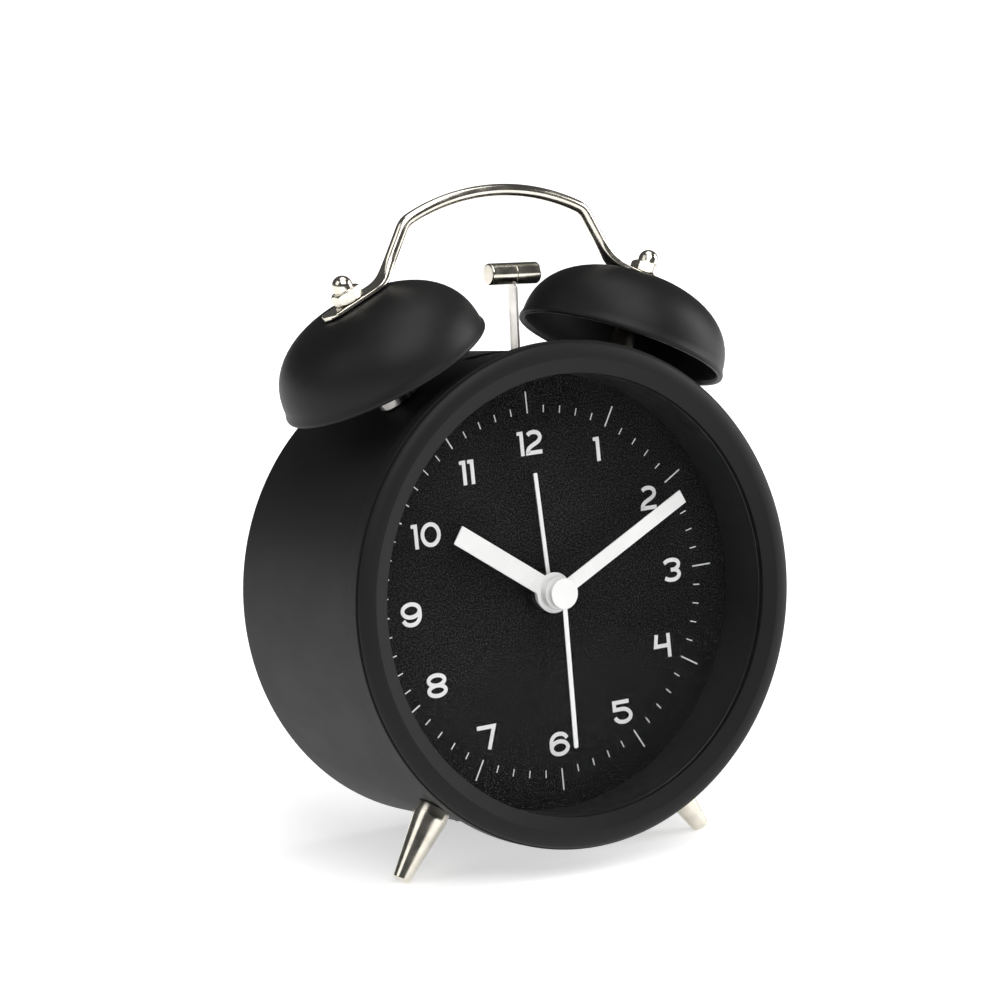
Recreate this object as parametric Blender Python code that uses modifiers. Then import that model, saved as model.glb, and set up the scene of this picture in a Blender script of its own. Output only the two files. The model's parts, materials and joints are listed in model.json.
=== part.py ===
"""Twin-bell alarm clock: a steel drum case on two turned feet, with bells, a carrying handle, a struck
hammer, four hands on one axis and a quartz movement with a battery inside.

Sizes are millimetres in the clock's own axes: the dial's front face is y = 0 with its centre at the
origin, x to the right, y to the rear and z to twelve o'clock. The whole clock leans back as it stands.
"""
import math

import bmesh
import bpy
from mathutils import Matrix, Vector

MM = 0.001
LEAN = math.radians(8.0)  # the dial leans back when the clock stands on its feet
GROUND_DROP = 53.718  # from the dial's centre straight down to the surface it stands on
FIT = 0.3  # clearance between pieces that touch
RINGS = 48  # sides of the large turned pieces
SIDES = 20  # sides of the small turned pieces

# Case
DRUM_R = 48.0
DRUM_WALL = 1.0
DRUM_FRONT = -10.8
DRUM_REAR = 38.7
FLANGE_R = 45.2  # opening that the rear flange leaves for the back cover
BEZEL_R = 50.05
BEZEL_REAR = -9.8
ROUNDING = 2.65  # of the bezel's front corner
CREST = (BEZEL_R - ROUNDING, -14.4)  # radius and depth of the bezel's foremost circle
OPENING_R = 43.54
GLASS_R = 46.5
GLASS_Y = (-12.0, -10.6)
DIAL_R = 46.6
DIAL_T = 0.5

# Bells, their posts and the handle, all in one plane behind the dial
BELL_PLANE = 8.5
BELL_X = 27.44
BELL_Z = 46.12
BELL_TILT = math.radians(25.5)
BELL_R = 21.35
BELL_H = 15.05  # the crown is pressed flat here, under the handle's tab
BELL_DOME = 15.8  # height the dome would reach without the flat
BELL_SHOULDER = 0.9  # height over the mouth where the bell is widest
BELL_FULLNESS = 0.87  # under 1 the dome is fuller than an ellipse
BELL_WALL = 1.0
STUD_R = 1.5
POST_R = 2.4
HANDLE_R = 1.25
HANDLE_TOP = 80.2
HANDLE_ARCH_R = 46.0
TAB_T = 1.0
STACK_GAP = 0.2  # between the bell's crown, the handle's tab and the nut
NUT_LOW = BELL_H + STACK_GAP + TAB_T + STACK_GAP

# Hammer
PIVOT = (1.65, BELL_PLANE, 24.0)
HAMMER_REST = math.radians(2.06)  # the arm rests a little nearer to the right bell
HAMMER_REACH = 39.4
HEAD_R = 2.2
HEAD_L = 11.4
ARM_T = 0.5
ARM_W = 3.0

# Feet
FOOT_ANGLE = math.radians(34.0)
FOOT_Y = 3.5
FOOT_TIP = 63.9  # distance of the foot's tip from the case axis
FOOT_R = 3.5
FOOT_TIP_R = 1.7

# Hands: width, length, hub radius and depth range
HOUR_HAND = (4.0, 25.2, 4.05, (-3.8, -3.45))
MINUTE_HAND = (2.9, 34.8, 3.3, (-5.7, -4.15))
SECOND_HAND = (1.0, 30.9, 3.1, (-7.6, -6.9))
ALARM_HAND = (0.85, 24.0, 3.6, (-2.4, -2.05))
HOUR_ANGLE = math.radians(-56.3)
MINUTE_ANGLE = math.radians(62.4)
SECOND_ANGLE = math.radians(179.4)
ALARM_ANGLE = math.radians(-3.8)

# Movement box and the wheels inside it: centre, tip radius, teeth
BOX_X = 27.0
BOX_Z = (-13.0, 33.0)
BOX_Y = (1.0, 18.0)
PLATE_T = 1.2
MESH_GAP = 0.25  # tip circles of meshing wheels stay this far apart
CENTRE_TIP = 7.1
THIRD_TIP = 7.1
SECOND_TIP = 4.6
INTERMEDIATE_TIP = 5.2
PINION_TIP = 1.0
WORK_TIP = 4.9
WORK_PINION_TIP = 1.5
CANNON_TIP = 1.9
HOUR_TIP = 5.3
ALARM_TIP = 6.0
SET_PINION_TIP = 2.1
CRANK_TIP = 8.0
MOTOR_PINION_TIP = 1.2

# Back
COVER_Y = (35.9, 38.4)
COVER_R = 44.8
BATTERY_R = 7.25
BATTERY_L = 50.5
BATTERY_AT = (0.0, 27.2, -24.2)
TRAY = ((-29.2, 29.2), (17.2, 35.6), (-33.2, -15.3))
DOOR = ((-27.5, 27.5), (36.8, 38.4), (-32.0, -16.5))
KNOB_Y = (38.9, 43.9)
KNOB_R = 4.6
SWITCH_AT = (17.5, 0.0, -4.0)  # set to off, at one end of its travel
SWITCH_TRAVEL = 5.0
BUTTON_AT = (-20.0, 0.0, -4.0)
TOP_BOSSES = ((-22.5, 28.5), (22.5, 28.5))
LOW_BOSS = (0.0, -36.4)


def around(centre, distance, angle):
    """The point at this distance from a wheel's centre, in the direction of the angle."""
    turn = math.radians(angle)
    return centre[0] + distance * math.cos(turn), centre[1] + distance * math.sin(turn)


CENTRE = (0.0, 0.0)
THIRD_AT = around(CENTRE, CENTRE_TIP + PINION_TIP + MESH_GAP, 200)
INTERMEDIATE_AT = around(CENTRE, SECOND_TIP + PINION_TIP + MESH_GAP, -20)
ROTOR_AT = around(INTERMEDIATE_AT, INTERMEDIATE_TIP + PINION_TIP + MESH_GAP, -21)
WORK_AT = around(CENTRE, CANNON_TIP + WORK_TIP + MESH_GAP, 135)
TIME_AT = around(WORK_AT, WORK_TIP + CANNON_TIP + MESH_GAP, 150)
ALARM_AT = around(CENTRE, ALARM_TIP + SET_PINION_TIP + MESH_GAP, 35)
CRANK_AT = (1.8, 15.5)
MOTOR_AT = around(CRANK_AT, CRANK_TIP + MOTOR_PINION_TIP + MESH_GAP, 5)


# ---------------------------------------------------------------- scene and materials

for thing in list(bpy.data.objects):
    bpy.data.objects.remove(thing, do_unlink=True)

PARTS = bpy.data.collections.new("alarm_clock")
CUTTERS = bpy.data.collections.new("cutters")
bpy.context.scene.collection.children.link(PARTS)
bpy.context.scene.collection.children.link(CUTTERS)


def material(name, colour, roughness, metallic=0.0):
    made = bpy.data.materials.new(name)
    made.use_nodes = True
    shader = made.node_tree.nodes["Principled BSDF"]
    shader.inputs["Base Color"].default_value = (*colour, 1.0)
    shader.inputs["Roughness"].default_value = roughness
    shader.inputs["Metallic"].default_value = metallic
    return made


CASE_BLACK = material("case_black", (0.035, 0.035, 0.037), 0.55)
DIAL_BLACK = material("dial_black", (0.012, 0.012, 0.013), 0.7)
NICKEL = material("nickel", (0.72, 0.69, 0.62), 0.2, 1.0)
STEEL = material("steel", (0.55, 0.55, 0.56), 0.35, 1.0)
BRASS = material("brass", (0.75, 0.55, 0.24), 0.3, 1.0)
COPPER = material("copper", (0.72, 0.33, 0.18), 0.35, 1.0)
WHITE = material("hand_white", (0.85, 0.85, 0.83), 0.45)
GLASS = material("clear_lens", (0.95, 0.97, 0.97), 0.03)
BLACK_PLASTIC = material("black_plastic", (0.02, 0.02, 0.02), 0.45)
RUBBER = material("black_rubber", (0.015, 0.015, 0.015), 0.8)
NYLON = material("gear_nylon", (0.8, 0.78, 0.7), 0.5)
BOARD = material("board_green", (0.03, 0.2, 0.08), 0.5)
CELL = material("cell_wrap", (0.1, 0.12, 0.3), 0.35)

CLOCK = bpy.data.objects.new("clock", None)
PARTS.objects.link(CLOCK)


def empty(name, at=(0, 0, 0), turn=(0, 0, 0)):
    """A frame in the clock's axes that pieces are placed in."""
    made = bpy.data.objects.new(name, None)
    made.parent = CLOCK
    made.location = Vector(at) * MM
    made.rotation_euler = turn
    PARTS.objects.link(made)
    return made


def place(name, mesh, finish, at=(0, 0, 0), turn=(0, 0, 0), parent=None):
    made = bpy.data.objects.new(name, mesh)
    made.parent = parent or CLOCK
    made.location = Vector(at) * MM
    made.rotation_euler = turn
    mesh.materials.append(finish)
    PARTS.objects.link(made)
    return made


def cutter(name, mesh, at=(0, 0, 0), turn=(0, 0, 0), parent=None):
    made = bpy.data.objects.new(name, mesh)
    made.parent = parent or CLOCK
    made.location = Vector(at) * MM
    made.rotation_euler = turn
    made.hide_render = True
    made.display_type = "WIRE"
    CUTTERS.objects.link(made)
    return made


def combine(piece, operation, *others):
    for other in others:
        modifier = piece.modifiers.new(f"{operation.lower()}_{other.name}", "BOOLEAN")
        modifier.operation = operation
        modifier.solver = "EXACT"
        modifier.object = other
    return piece


# ---------------------------------------------------------------- shapes

ALONG_Y = (-math.pi / 2, 0, 0)  # turns a piece's own Z axis to the clock's rear
ALONG_X = (0, math.pi / 2, 0)


def finished(mesh):
    mesh.shade_smooth()
    mesh.set_sharp_from_angle(angle=math.radians(35))
    return mesh


def turned_mesh(name, profile, sides, closed=True):
    """A profile of (radius, height) turned about Z. It runs down its outer side."""
    graph = bmesh.new()
    points = [graph.verts.new((r * MM, 0, h * MM)) for r, h in profile]
    pairs = list(zip(points, points[1:]))
    if closed:
        pairs.append((points[-1], points[0]))
    for pair in pairs:
        graph.edges.new(pair)
    mesh = bpy.data.meshes.new(name)
    graph.to_mesh(mesh)
    graph.free()
    return mesh


def screw(piece, sides):
    modifier = piece.modifiers.new("turn", "SCREW")
    modifier.steps = modifier.render_steps = sides
    modifier.use_merge_vertices = True
    modifier.merge_threshold = 0.00001
    modifier.use_smooth_shade = True
    return piece


def turned(name, profile, finish, sides=SIDES, at=(0, 0, 0), turn=ALONG_Y, parent=None, closed=True):
    mesh = turned_mesh(name, profile, sides, closed)
    return screw(place(name, mesh, finish, at, turn, parent), sides)


def turned_cutter(name, profile, sides=SIDES, at=(0, 0, 0), turn=ALONG_Y, parent=None, closed=False):
    mesh = turned_mesh(name, profile, sides, closed)
    return screw(cutter(name, mesh, at, turn, parent), sides)


def ring(inner, outer, low, high):
    return [(outer, high), (outer, low), (inner, low), (inner, high)]


def rod(radius, low, high):
    return [(0, high), (radius, high), (radius, low), (0, low)]


def box_mesh(name, xs, ys, zs, bevel=0.0):
    graph = bmesh.new()
    bmesh.ops.create_cube(graph, size=1.0)
    spans = [Vector((a, b)) * MM for a, b in (xs, ys, zs)]
    size = [span[1] - span[0] for span in spans]
    middle = Vector([(span[0] + span[1]) / 2 for span in spans])
    bmesh.ops.transform(graph, matrix=Matrix.Translation(middle) @ Matrix.Diagonal((*size, 1)), verts=graph.verts)
    if bevel:
        bmesh.ops.bevel(graph, geom=graph.edges[:], offset=bevel * MM, segments=1, affect="EDGES")
    mesh = bpy.data.meshes.new(name)
    graph.to_mesh(mesh)
    graph.free()
    return mesh


def prism_mesh(name, outline, low, high):
    """A flat outline of (x, z) points, thick from depth low to depth high."""
    graph = bmesh.new()
    face = graph.faces.new([graph.verts.new((x * MM, low * MM, z * MM)) for x, z in outline])
    grown = bmesh.ops.extrude_face_region(graph, geom=[face])
    moved = [part for part in grown["geom"] if isinstance(part, bmesh.types.BMVert)]
    bmesh.ops.translate(graph, verts=moved, vec=(0, (high - low) * MM, 0))
    bmesh.ops.recalc_face_normals(graph, faces=graph.faces)
    mesh = bpy.data.meshes.new(name)
    graph.to_mesh(mesh)
    graph.free()
    return mesh


def toothed_mesh(name, teeth, tip, low, high, depth=0.45):
    """A wheel about Z whose rim goes between its tip and root circles once a tooth."""
    graph = bmesh.new()
    bmesh.ops.create_circle(graph, cap_ends=True, segments=2 * teeth, radius=tip * MM)
    for number, vert in enumerate(graph.verts):
        if number % 2:
            vert.co *= (tip - depth) / tip
        vert.co.z = low * MM
    grown = bmesh.ops.extrude_face_region(graph, geom=graph.faces[:])
    moved = [part for part in grown["geom"] if isinstance(part, bmesh.types.BMVert)]
    bmesh.ops.translate(graph, verts=moved, vec=(0, 0, (high - low) * MM))
    bmesh.ops.recalc_face_normals(graph, faces=graph.faces)
    mesh = bpy.data.meshes.new(name)
    graph.to_mesh(mesh)
    graph.free()
    return mesh


def arc(centre, radius, start, end, count):
    """Points round a centre, from the start angle to the end angle in degrees."""
    turns = [math.radians(start + (end - start) * i / (count - 1)) for i in range(count)]
    return [(centre[0] + radius * math.cos(t), centre[1] + radius * math.sin(t)) for t in turns]


def on_axis(at, y=0.0):
    return at[0], y, at[1]


# ---------------------------------------------------------------- case

BELL_SIDES = (("left", -1), ("right", 1))


def bell_frame(side, sign):
    """Origin at the middle of the bell's mouth, Z up through its crown."""
    return empty(f"bell_axis_{side}", (sign * BELL_X, BELL_PLANE, BELL_Z), (0, sign * BELL_TILT, 0))


def foot_frame(side, sign):
    """Origin on the case axis, Z out through the foot."""
    return empty(f"foot_axis_{side}", (0, FOOT_Y, 0), (0, sign * (math.pi - FOOT_ANGLE), 0))


BELL_FRAMES = {side: bell_frame(side, sign) for side, sign in BELL_SIDES}
FOOT_FRAMES = {side: foot_frame(side, sign) for side, sign in BELL_SIDES}
HAMMER_FRAME = empty("hammer_axis", PIVOT, (0, HAMMER_REST, 0))


def case_drum():
    inner = DRUM_R - DRUM_WALL
    outside = [(DRUM_R - 1.5 + x, DRUM_REAR - 1.5 + z) for x, z in arc((0, 0), 1.5, 90, 0, 4)]
    inside = [(inner, DRUM_FRONT), (inner, DRUM_REAR - 1.7), (inner - 0.7, DRUM_REAR - DRUM_WALL)]
    lip = [(FLANGE_R, DRUM_REAR - DRUM_WALL), (FLANGE_R, DRUM_REAR)]
    drum = turned("case_drum", outside + [(DRUM_R, DRUM_FRONT)] + inside + lip, CASE_BLACK, RINGS)
    slot = box_mesh("hammer_slot", (-9.2, 9.2), (6.6, 10.4), (40, 60), 0.0)
    combine(drum, "DIFFERENCE", cutter("hammer_slot", slot))
    for side, _ in BELL_SIDES:
        hole = turned_cutter(f"post_hole_{side}", rod(1.7, -14, 2), 16, turn=(0, 0, 0), parent=BELL_FRAMES[side])
        foot_hole = turned_cutter(
            f"foot_hole_{side}", rod(1.7, 44, 52), 16, turn=(0, 0, 0), parent=FOOT_FRAMES[side]
        )
        combine(drum, "DIFFERENCE", hole, foot_hole)


def bezel_ring():
    corner = arc((CREST[0], CREST[1] + ROUNDING), ROUNDING, 0, -90, 5)
    rear = [(BEZEL_R - 0.65, BEZEL_REAR), (BEZEL_R - 0.2, BEZEL_REAR - 0.3), (BEZEL_R, BEZEL_REAR - 0.8)]
    lip = [(OPENING_R, -13.06), (OPENING_R, GLASS_Y[0] - FIT), (GLASS_R + 0.45, GLASS_Y[0] - FIT)]
    seat = [(GLASS_R + 0.45, DRUM_FRONT - FIT), (DRUM_R + FIT, DRUM_FRONT - FIT), (DRUM_R + FIT, BEZEL_REAR)]
    turned("bezel_ring", [*rear, *corner, *lip, *seat], CASE_BLACK, RINGS)


def glass_lens():
    turned("glass_lens", rod(GLASS_R, *GLASS_Y), GLASS, RINGS, closed=False)


def spacer_ring():
    made = turned("spacer_ring", ring(OPENING_R, DIAL_R, GLASS_Y[1] + FIT, -FIT), BLACK_PLASTIC, RINGS)
    lamp_hole = turned_cutter("lamp_hole", rod(1.8, 42, 50), 12, at=(0, -5, 0), turn=(0, 0, 0))
    combine(made, "DIFFERENCE", lamp_hole)


def dial_plate():
    turned("dial_plate", ring(4.3, DIAL_R, 0.0, DIAL_T), DIAL_BLACK, RINGS)


def dial_lamp():
    turned("dial_lamp", rod(1.5, 43.9, 46.6), GLASS, 12, at=(0, -5, 0), turn=(0, 0, 0), closed=False)


# ---------------------------------------------------------------- bells and handle


def bell_profile():
    """Outer side from the crown to the mouth, then the inner side back up."""
    rise = BELL_DOME - BELL_SHOULDER
    angles = [math.radians(a) for a in (60, 52, 44, 36, 28, 19, 10, 3)]
    outer = [
        (BELL_R * math.cos(a) ** BELL_FULLNESS, BELL_SHOULDER + rise * math.sin(a) ** BELL_FULLNESS) for a in angles
    ]
    inner = [
        (
            (BELL_R - BELL_WALL) * math.cos(a) ** BELL_FULLNESS,
            BELL_SHOULDER + (rise - BELL_WALL) * math.sin(a) ** BELL_FULLNESS,
        )
        for a in reversed(angles)
    ]
    crown = 8.1
    mouth = [(BELL_R + 0.35, 0.7), (BELL_R + 0.1, 0.0), (BELL_R - 0.6, 0.0), (BELL_R - 0.75, 0.7)]
    hole = STUD_R + FIT
    ceiling = BELL_H - BELL_WALL
    return [(hole, BELL_H), (crown, BELL_H), *outer, *mouth, *inner, (crown - 0.6, ceiling), (hole, ceiling)]


def bells():
    drum_skin = turned_cutter("drum_skin", rod(DRUM_R + FIT, -30, 60), RINGS)
    seat = BELL_H - BELL_WALL - FIT
    for side, _ in BELL_SIDES:
        frame = {"turn": (0, 0, 0), "parent": BELL_FRAMES[side]}
        turned(f"bell_{side}", bell_profile(), CASE_BLACK, 40, **frame)
        tip = NUT_LOW + 1.5
        stud = [(0, tip), (STUD_R, tip), (STUD_R, seat), (POST_R, seat), (POST_R, -3.4)]
        post = turned(f"bell_post_{side}", [*stud, (1.5, -3.4), (1.5, 5.0), (0, 5.0)], STEEL, 16, closed=False, **frame)
        washer = turned(f"post_washer_{side}", ring(1.7, 4.0, -8.0, -3.7), NICKEL, 24, **frame)
        combine(washer, "DIFFERENCE", drum_skin)
        low = -9.0
        head = [(2.6, low), (2.6, low - 1.8), (0, low - 1.8)]
        turned(f"post_screw_{side}", [(0, 3.0), (1.2, 3.0), (1.2, low), *head], STEEL, 12, closed=False, **frame)
        cap_nut(side)


def cap_nut(side):
    radius, waist, top = 2.05, NUT_LOW + 3.1, 2.05
    dome = [(radius * math.cos(math.radians(a)), waist + top * math.sin(math.radians(a))) for a in (70, 45, 20, 0)]
    profile = [(0, waist + top), *dome, (radius, NUT_LOW + 0.5), (0, NUT_LOW + 0.5)]
    frame = {"turn": (0, 0, 0), "parent": BELL_FRAMES[side]}
    nut = turned(f"cap_nut_{side}", profile, NICKEL, 18, closed=False, **frame)
    graph = bmesh.new()
    bmesh.ops.create_circle(graph, cap_ends=True, segments=6, radius=3.18 * MM)
    grown = bmesh.ops.extrude_face_region(graph, geom=graph.faces[:])
    moved = [part for part in grown["geom"] if isinstance(part, bmesh.types.BMVert)]
    bmesh.ops.translate(graph, verts=moved, vec=(0, 0, 2.1 * MM))
    bmesh.ops.recalc_face_normals(graph, faces=graph.faces)
    mesh = bpy.data.meshes.new("hexagon")
    graph.to_mesh(mesh)
    graph.free()
    hexagon = cutter(f"nut_hexagon_{side}", mesh, (0, 0, NUT_LOW), parent=BELL_FRAMES[side])
    bore_shape = rod(STUD_R + STACK_GAP, NUT_LOW - 1, NUT_LOW + 1.8)
    bore = turned_cutter(f"nut_bore_{side}", bore_shape, 14, **frame)
    combine(nut, "UNION", hexagon)
    combine(nut, "DIFFERENCE", bore)


def handle_path():
    """The right half of the rod's centre line, from the middle of the arch to the tab."""
    arch_low = HANDLE_TOP - HANDLE_ARCH_R
    arch = [
        (HANDLE_ARCH_R * math.sin(math.radians(a)), arch_low + HANDLE_ARCH_R * math.cos(math.radians(a)))
        for a in (0, 6, 12, 18, 23.5)
    ]
    bend = [(19.6, 75.75), (20.75, 74.9), (21.75, 73.6)]
    leg = [(23.5, 70.3), (25.2, 67.1), (26.6, 64.5)]
    return arch + bend + leg


def handle():
    half = handle_path()
    route = [(-x, z) for x, z in reversed(half[1:])] + half
    curve = bpy.data.curves.new("handle_rod", "CURVE")
    curve.dimensions = "3D"
    curve.bevel_depth = HANDLE_R * MM
    curve.bevel_resolution = 2
    curve.use_fill_caps = True
    spline = curve.splines.new("POLY")
    spline.points.add(len(route) - 1)
    for point, (x, z) in zip(spline.points, route):
        point.co = (x * MM, BELL_PLANE * MM, z * MM, 1)
    guide = bpy.data.objects.new("handle_guide", curve)
    bpy.context.scene.collection.objects.link(guide)
    bpy.context.view_layer.update()
    rod_mesh = bpy.data.meshes.new_from_object(guide.evaluated_get(bpy.context.evaluated_depsgraph_get()))
    bpy.data.objects.remove(guide, do_unlink=True)
    graph = bmesh.new()
    graph.from_mesh(rod_mesh)
    bmesh.ops.remove_doubles(graph, verts=graph.verts, dist=0.000001)
    bmesh.ops.recalc_face_normals(graph, faces=graph.faces)
    graph.to_mesh(rod_mesh)
    graph.free()
    made = place("handle", rod_mesh, NICKEL)
    for side, sign in BELL_SIDES:
        low = BELL_H + STACK_GAP
        end = arc((4.05, 0), 2.75, 90, -90, 9)
        outline = [(-8.8, 1.0), (-7.2, 1.9), (-4.6, 2.75), *end, (-4.6, -2.75), (-7.2, -1.9), (-8.8, -1.0)]
        mesh = prism_mesh("tab", [(sign * x, y) for x, y in outline], low, low + TAB_T)
        tab = cutter(f"tab_{side}", mesh, turn=(math.pi / 2, 0, 0), parent=BELL_FRAMES[side])
        hole = turned_cutter(
            f"tab_hole_{side}", rod(STUD_R + FIT, low - 2, low + 3), 14, turn=(0, 0, 0), parent=BELL_FRAMES[side]
        )
        combine(made, "UNION", tab)
        combine(made, "DIFFERENCE", hole)


# ---------------------------------------------------------------- feet


def feet():
    drum_skin = turned_cutter("drum_skin_feet", rod(DRUM_R + FIT, -30, 60), RINGS)
    for side, _ in BELL_SIDES:
        frame = {"turn": (0, 0, 0), "parent": FOOT_FRAMES[side]}
        length = FOOT_TIP - DRUM_R
        steps = (0.07, 0.35, 0.65, 0.975)
        body = [(FOOT_R - (FOOT_R - FOOT_TIP_R) * t, DRUM_R + length * t) for t in steps]
        skin = [(0, FOOT_TIP), (FOOT_TIP_R - 0.35, FOOT_TIP), *reversed(body)]
        base = [(FOOT_R - 0.2, DRUM_R - 1.5), (1.5, DRUM_R - 1.5), (1.5, DRUM_R + 7), (0, DRUM_R + 7)]
        foot = turned(f"foot_{side}", skin + base, NICKEL, 24, closed=False, **frame)
        combine(foot, "DIFFERENCE", drum_skin)
        head = DRUM_R - DRUM_WALL - FIT - 0.2
        screw_profile = [(0, DRUM_R + 5), (1.2, DRUM_R + 5), (1.2, head), (2.6, head), (2.6, head - 1.8), (0, head - 1.8)]
        turned(f"foot_screw_{side}", screw_profile, STEEL, 12, closed=False, **frame)
    pad = box_mesh("rear_pad", (-5, 5), (31.0, 37.4), (-50.6, -44), 0.0)
    made = place("rear_pad", pad, RUBBER)
    ground = box_mesh("ground_cut", (-30, 30), (-40, 40), (-20, 0), 0.0)
    # the pad's underside lies level with the surface that the clock stands on
    level = cutter("ground_cut", ground, (0, 34.2, ground_depth(34.2)), (LEAN, 0, 0))
    combine(made, "DIFFERENCE", drum_skin, level)


def ground_depth(y):
    """Height, in the clock's axes, of the standing surface under a point at depth y."""
    return (y * math.sin(LEAN) - GROUND_DROP) / math.cos(LEAN)


# ---------------------------------------------------------------- hammer


def hammer():
    frame = {"parent": HAMMER_FRAME}
    head = turned(
        "hammer_head",
        [(0, HEAD_L / 2), (HEAD_R - 0.3, HEAD_L / 2), (HEAD_R, HEAD_L / 2 - 0.3), (HEAD_R, 0.3 - HEAD_L / 2)]
        + [(HEAD_R - 0.3, -HEAD_L / 2), (0, -HEAD_L / 2)],
        NICKEL,
        SIDES,
        at=(0, 0, HAMMER_REACH),
        turn=ALONG_X,
        closed=False,
        **frame,
    )
    tongue = 0.95
    slit = box_mesh("head_slit", (-0.55, 0.55), (-tongue - FIT, tongue + FIT), (HAMMER_REACH - 4, HAMMER_REACH + 0.9))
    combine(head, "DIFFERENCE", cutter("head_slit", slit, **frame))
    shoulder = HAMMER_REACH - HEAD_R - FIT
    half = ARM_W / 2
    outline = [(-half, 3.4), (half, 3.4), (half, shoulder), (tongue, shoulder), (tongue, HAMMER_REACH + 0.6)]
    outline += [(-tongue, HAMMER_REACH + 0.6), (-tongue, shoulder), (-half, shoulder)]
    mesh = prism_mesh("hammer_arm", outline, -ARM_T / 2, ARM_T / 2)
    place("hammer_arm", mesh, NICKEL, turn=(0, 0, math.pi / 2), **frame)
    hub = turned("hammer_lever", ring(1.1, 2.6, -2.0, 2.0), NYLON, SIDES, **frame)
    socket = box_mesh("lever_socket", (-1.7, 1.7), (-2.0, 2.0), (1.6, 7.5))
    tail = box_mesh("lever_tail", (-1.2, 1.2), (-1.98, 1.98), (-8.0, -1.7))
    slit = box_mesh("socket_slit", (-0.55, 0.55), (-half - FIT, half + FIT), (3.1, 9))
    combine(hub, "UNION", cutter("lever_socket", socket, **frame), cutter("lever_tail", tail, **frame))
    combine(hub, "DIFFERENCE", cutter("socket_slit", slit, **frame))
    pin_at = (PIVOT[0], 0, PIVOT[2])
    turned("hammer_pin", rod(0.8, BOX_Y[0] + PLATE_T + FIT, 11.1), STEEL, 12, at=pin_at, closed=False)


# ---------------------------------------------------------------- hands


def hand(name, size, angle, bore, finish, plate=None):
    """A flat hand: a blade from a round hub, bored for its tube."""
    width, length, hub, (front, rear) = size
    blade_front, blade_rear = plate or (front, rear)
    turn = (0, angle, 0)
    made = turned(name, ring(bore, hub, front, rear), finish, 28)
    start = bore + 0.3
    blade = box_mesh(f"{name}_blade", (-width / 2, width / 2), (blade_front, blade_rear), (start, length))
    combine(made, "UNION", cutter(f"{name}_blade", blade, turn=turn))


def hands():
    hand("hour_hand", HOUR_HAND, HOUR_ANGLE, 2.1, WHITE)
    hand("minute_hand", MINUTE_HAND, MINUTE_ANGLE, 1.35, WHITE, (-5.7, -5.35))
    hand("alarm_hand", ALARM_HAND, ALARM_ANGLE, 2.9, WHITE)
    width, length, hub, (front, rear) = SECOND_HAND
    boss, bore, bore_end = rear + 0.6, 0.65, front + 0.35
    profile = [(0, bore_end), (bore, bore_end), (bore, boss), (1.6, boss), (1.6, rear), (hub, rear)]
    made = turned("second_hand", profile + [(hub, front), (0, front)], WHITE, 28, closed=False)
    blade = box_mesh("second_blade", (-width / 2, width / 2), (-7.3, -7.0), (1.0, length))
    combine(made, "UNION", cutter("second_blade", blade, turn=(0, SECOND_ANGLE, 0)))


# ---------------------------------------------------------------- wheels


def wheel(name, teeth, tip, span, at, finish=NYLON, joined=(), bore=None):
    """A toothed wheel with the arbors and pinions joined to it, on one axis along the depth."""
    mesh = toothed_mesh(name, teeth, tip, *span)
    made = place(name, mesh, finish, on_axis(at), ALONG_Y)
    for number, (kind, *sizes) in enumerate(joined):
        label = f"{name}_joined_{number}"
        if kind == "pinion":
            part = cutter(label, toothed_mesh(label, *sizes), on_axis(at), ALONG_Y)
        else:
            part = turned_cutter(label, rod(*sizes), 12, on_axis(at))
        combine(made, "UNION", part)
    if bore:
        low = min([span[0]] + [sizes[-2] for _, *sizes in joined]) - 1
        high = max([span[1]] + [sizes[-1] for _, *sizes in joined]) + 1
        combine(made, "DIFFERENCE", turned_cutter(f"{name}_bore", rod(bore, low, high), 12, on_axis(at)))
    return made


def motion_work():
    wheel("alarm_wheel", 30, ALARM_TIP, (2.6, 3.5), CENTRE, joined=[("rod", 2.6, -2.35, 3.4)], bore=2.1)
    wheel("hour_wheel", 32, HOUR_TIP, (4.0, 4.9), CENTRE, joined=[("rod", 1.8, -3.75, 4.8)], bore=1.35)
    wheel("cannon_wheel", 10, CANNON_TIP, (5.4, 6.4), CENTRE, BRASS, [("rod", 1.05, -5.65, 8.4)], 0.65)
    joined = [("pinion", 8, WORK_PINION_TIP, 3.8, 5.6), ("rod", 0.5, 2.5, 6.7)]
    wheel("minute_wheel", 30, WORK_TIP, (5.4, 6.4), WORK_AT, joined=joined)


def going_train():
    wheel("centre_wheel", 48, CENTRE_TIP, (7.0, 8.0), CENTRE, joined=[("rod", 1.9, 7.2, 8.8)], bore=1.35)
    joined = [("pinion", 6, PINION_TIP, 6.9, 9.8), ("rod", 0.4, 6.7, 12.6)]
    wheel("third_wheel", 45, THIRD_TIP, (9.6, 10.6), THIRD_AT, joined=joined)
    joined = [("pinion", 6, PINION_TIP, 9.4, 11.6), ("rod", 0.35, -6.9, 16.6)]
    wheel("second_wheel", 30, SECOND_TIP, (11.4, 12.4), CENTRE, joined=joined)
    joined = [("pinion", 6, PINION_TIP, 11.2, 13.4), ("rod", 0.4, 10.2, 16.6)]
    wheel("intermediate_wheel", 36, INTERMEDIATE_TIP, (13.2, 14.2), INTERMEDIATE_AT, joined=joined)
    joined = [("rod", 2.1, 14.7, 16.6), ("rod", 0.4, 12.0, 17.4)]
    wheel("rotor", 6, PINION_TIP, (12.9, 14.9), ROTOR_AT, joined=joined)


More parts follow.
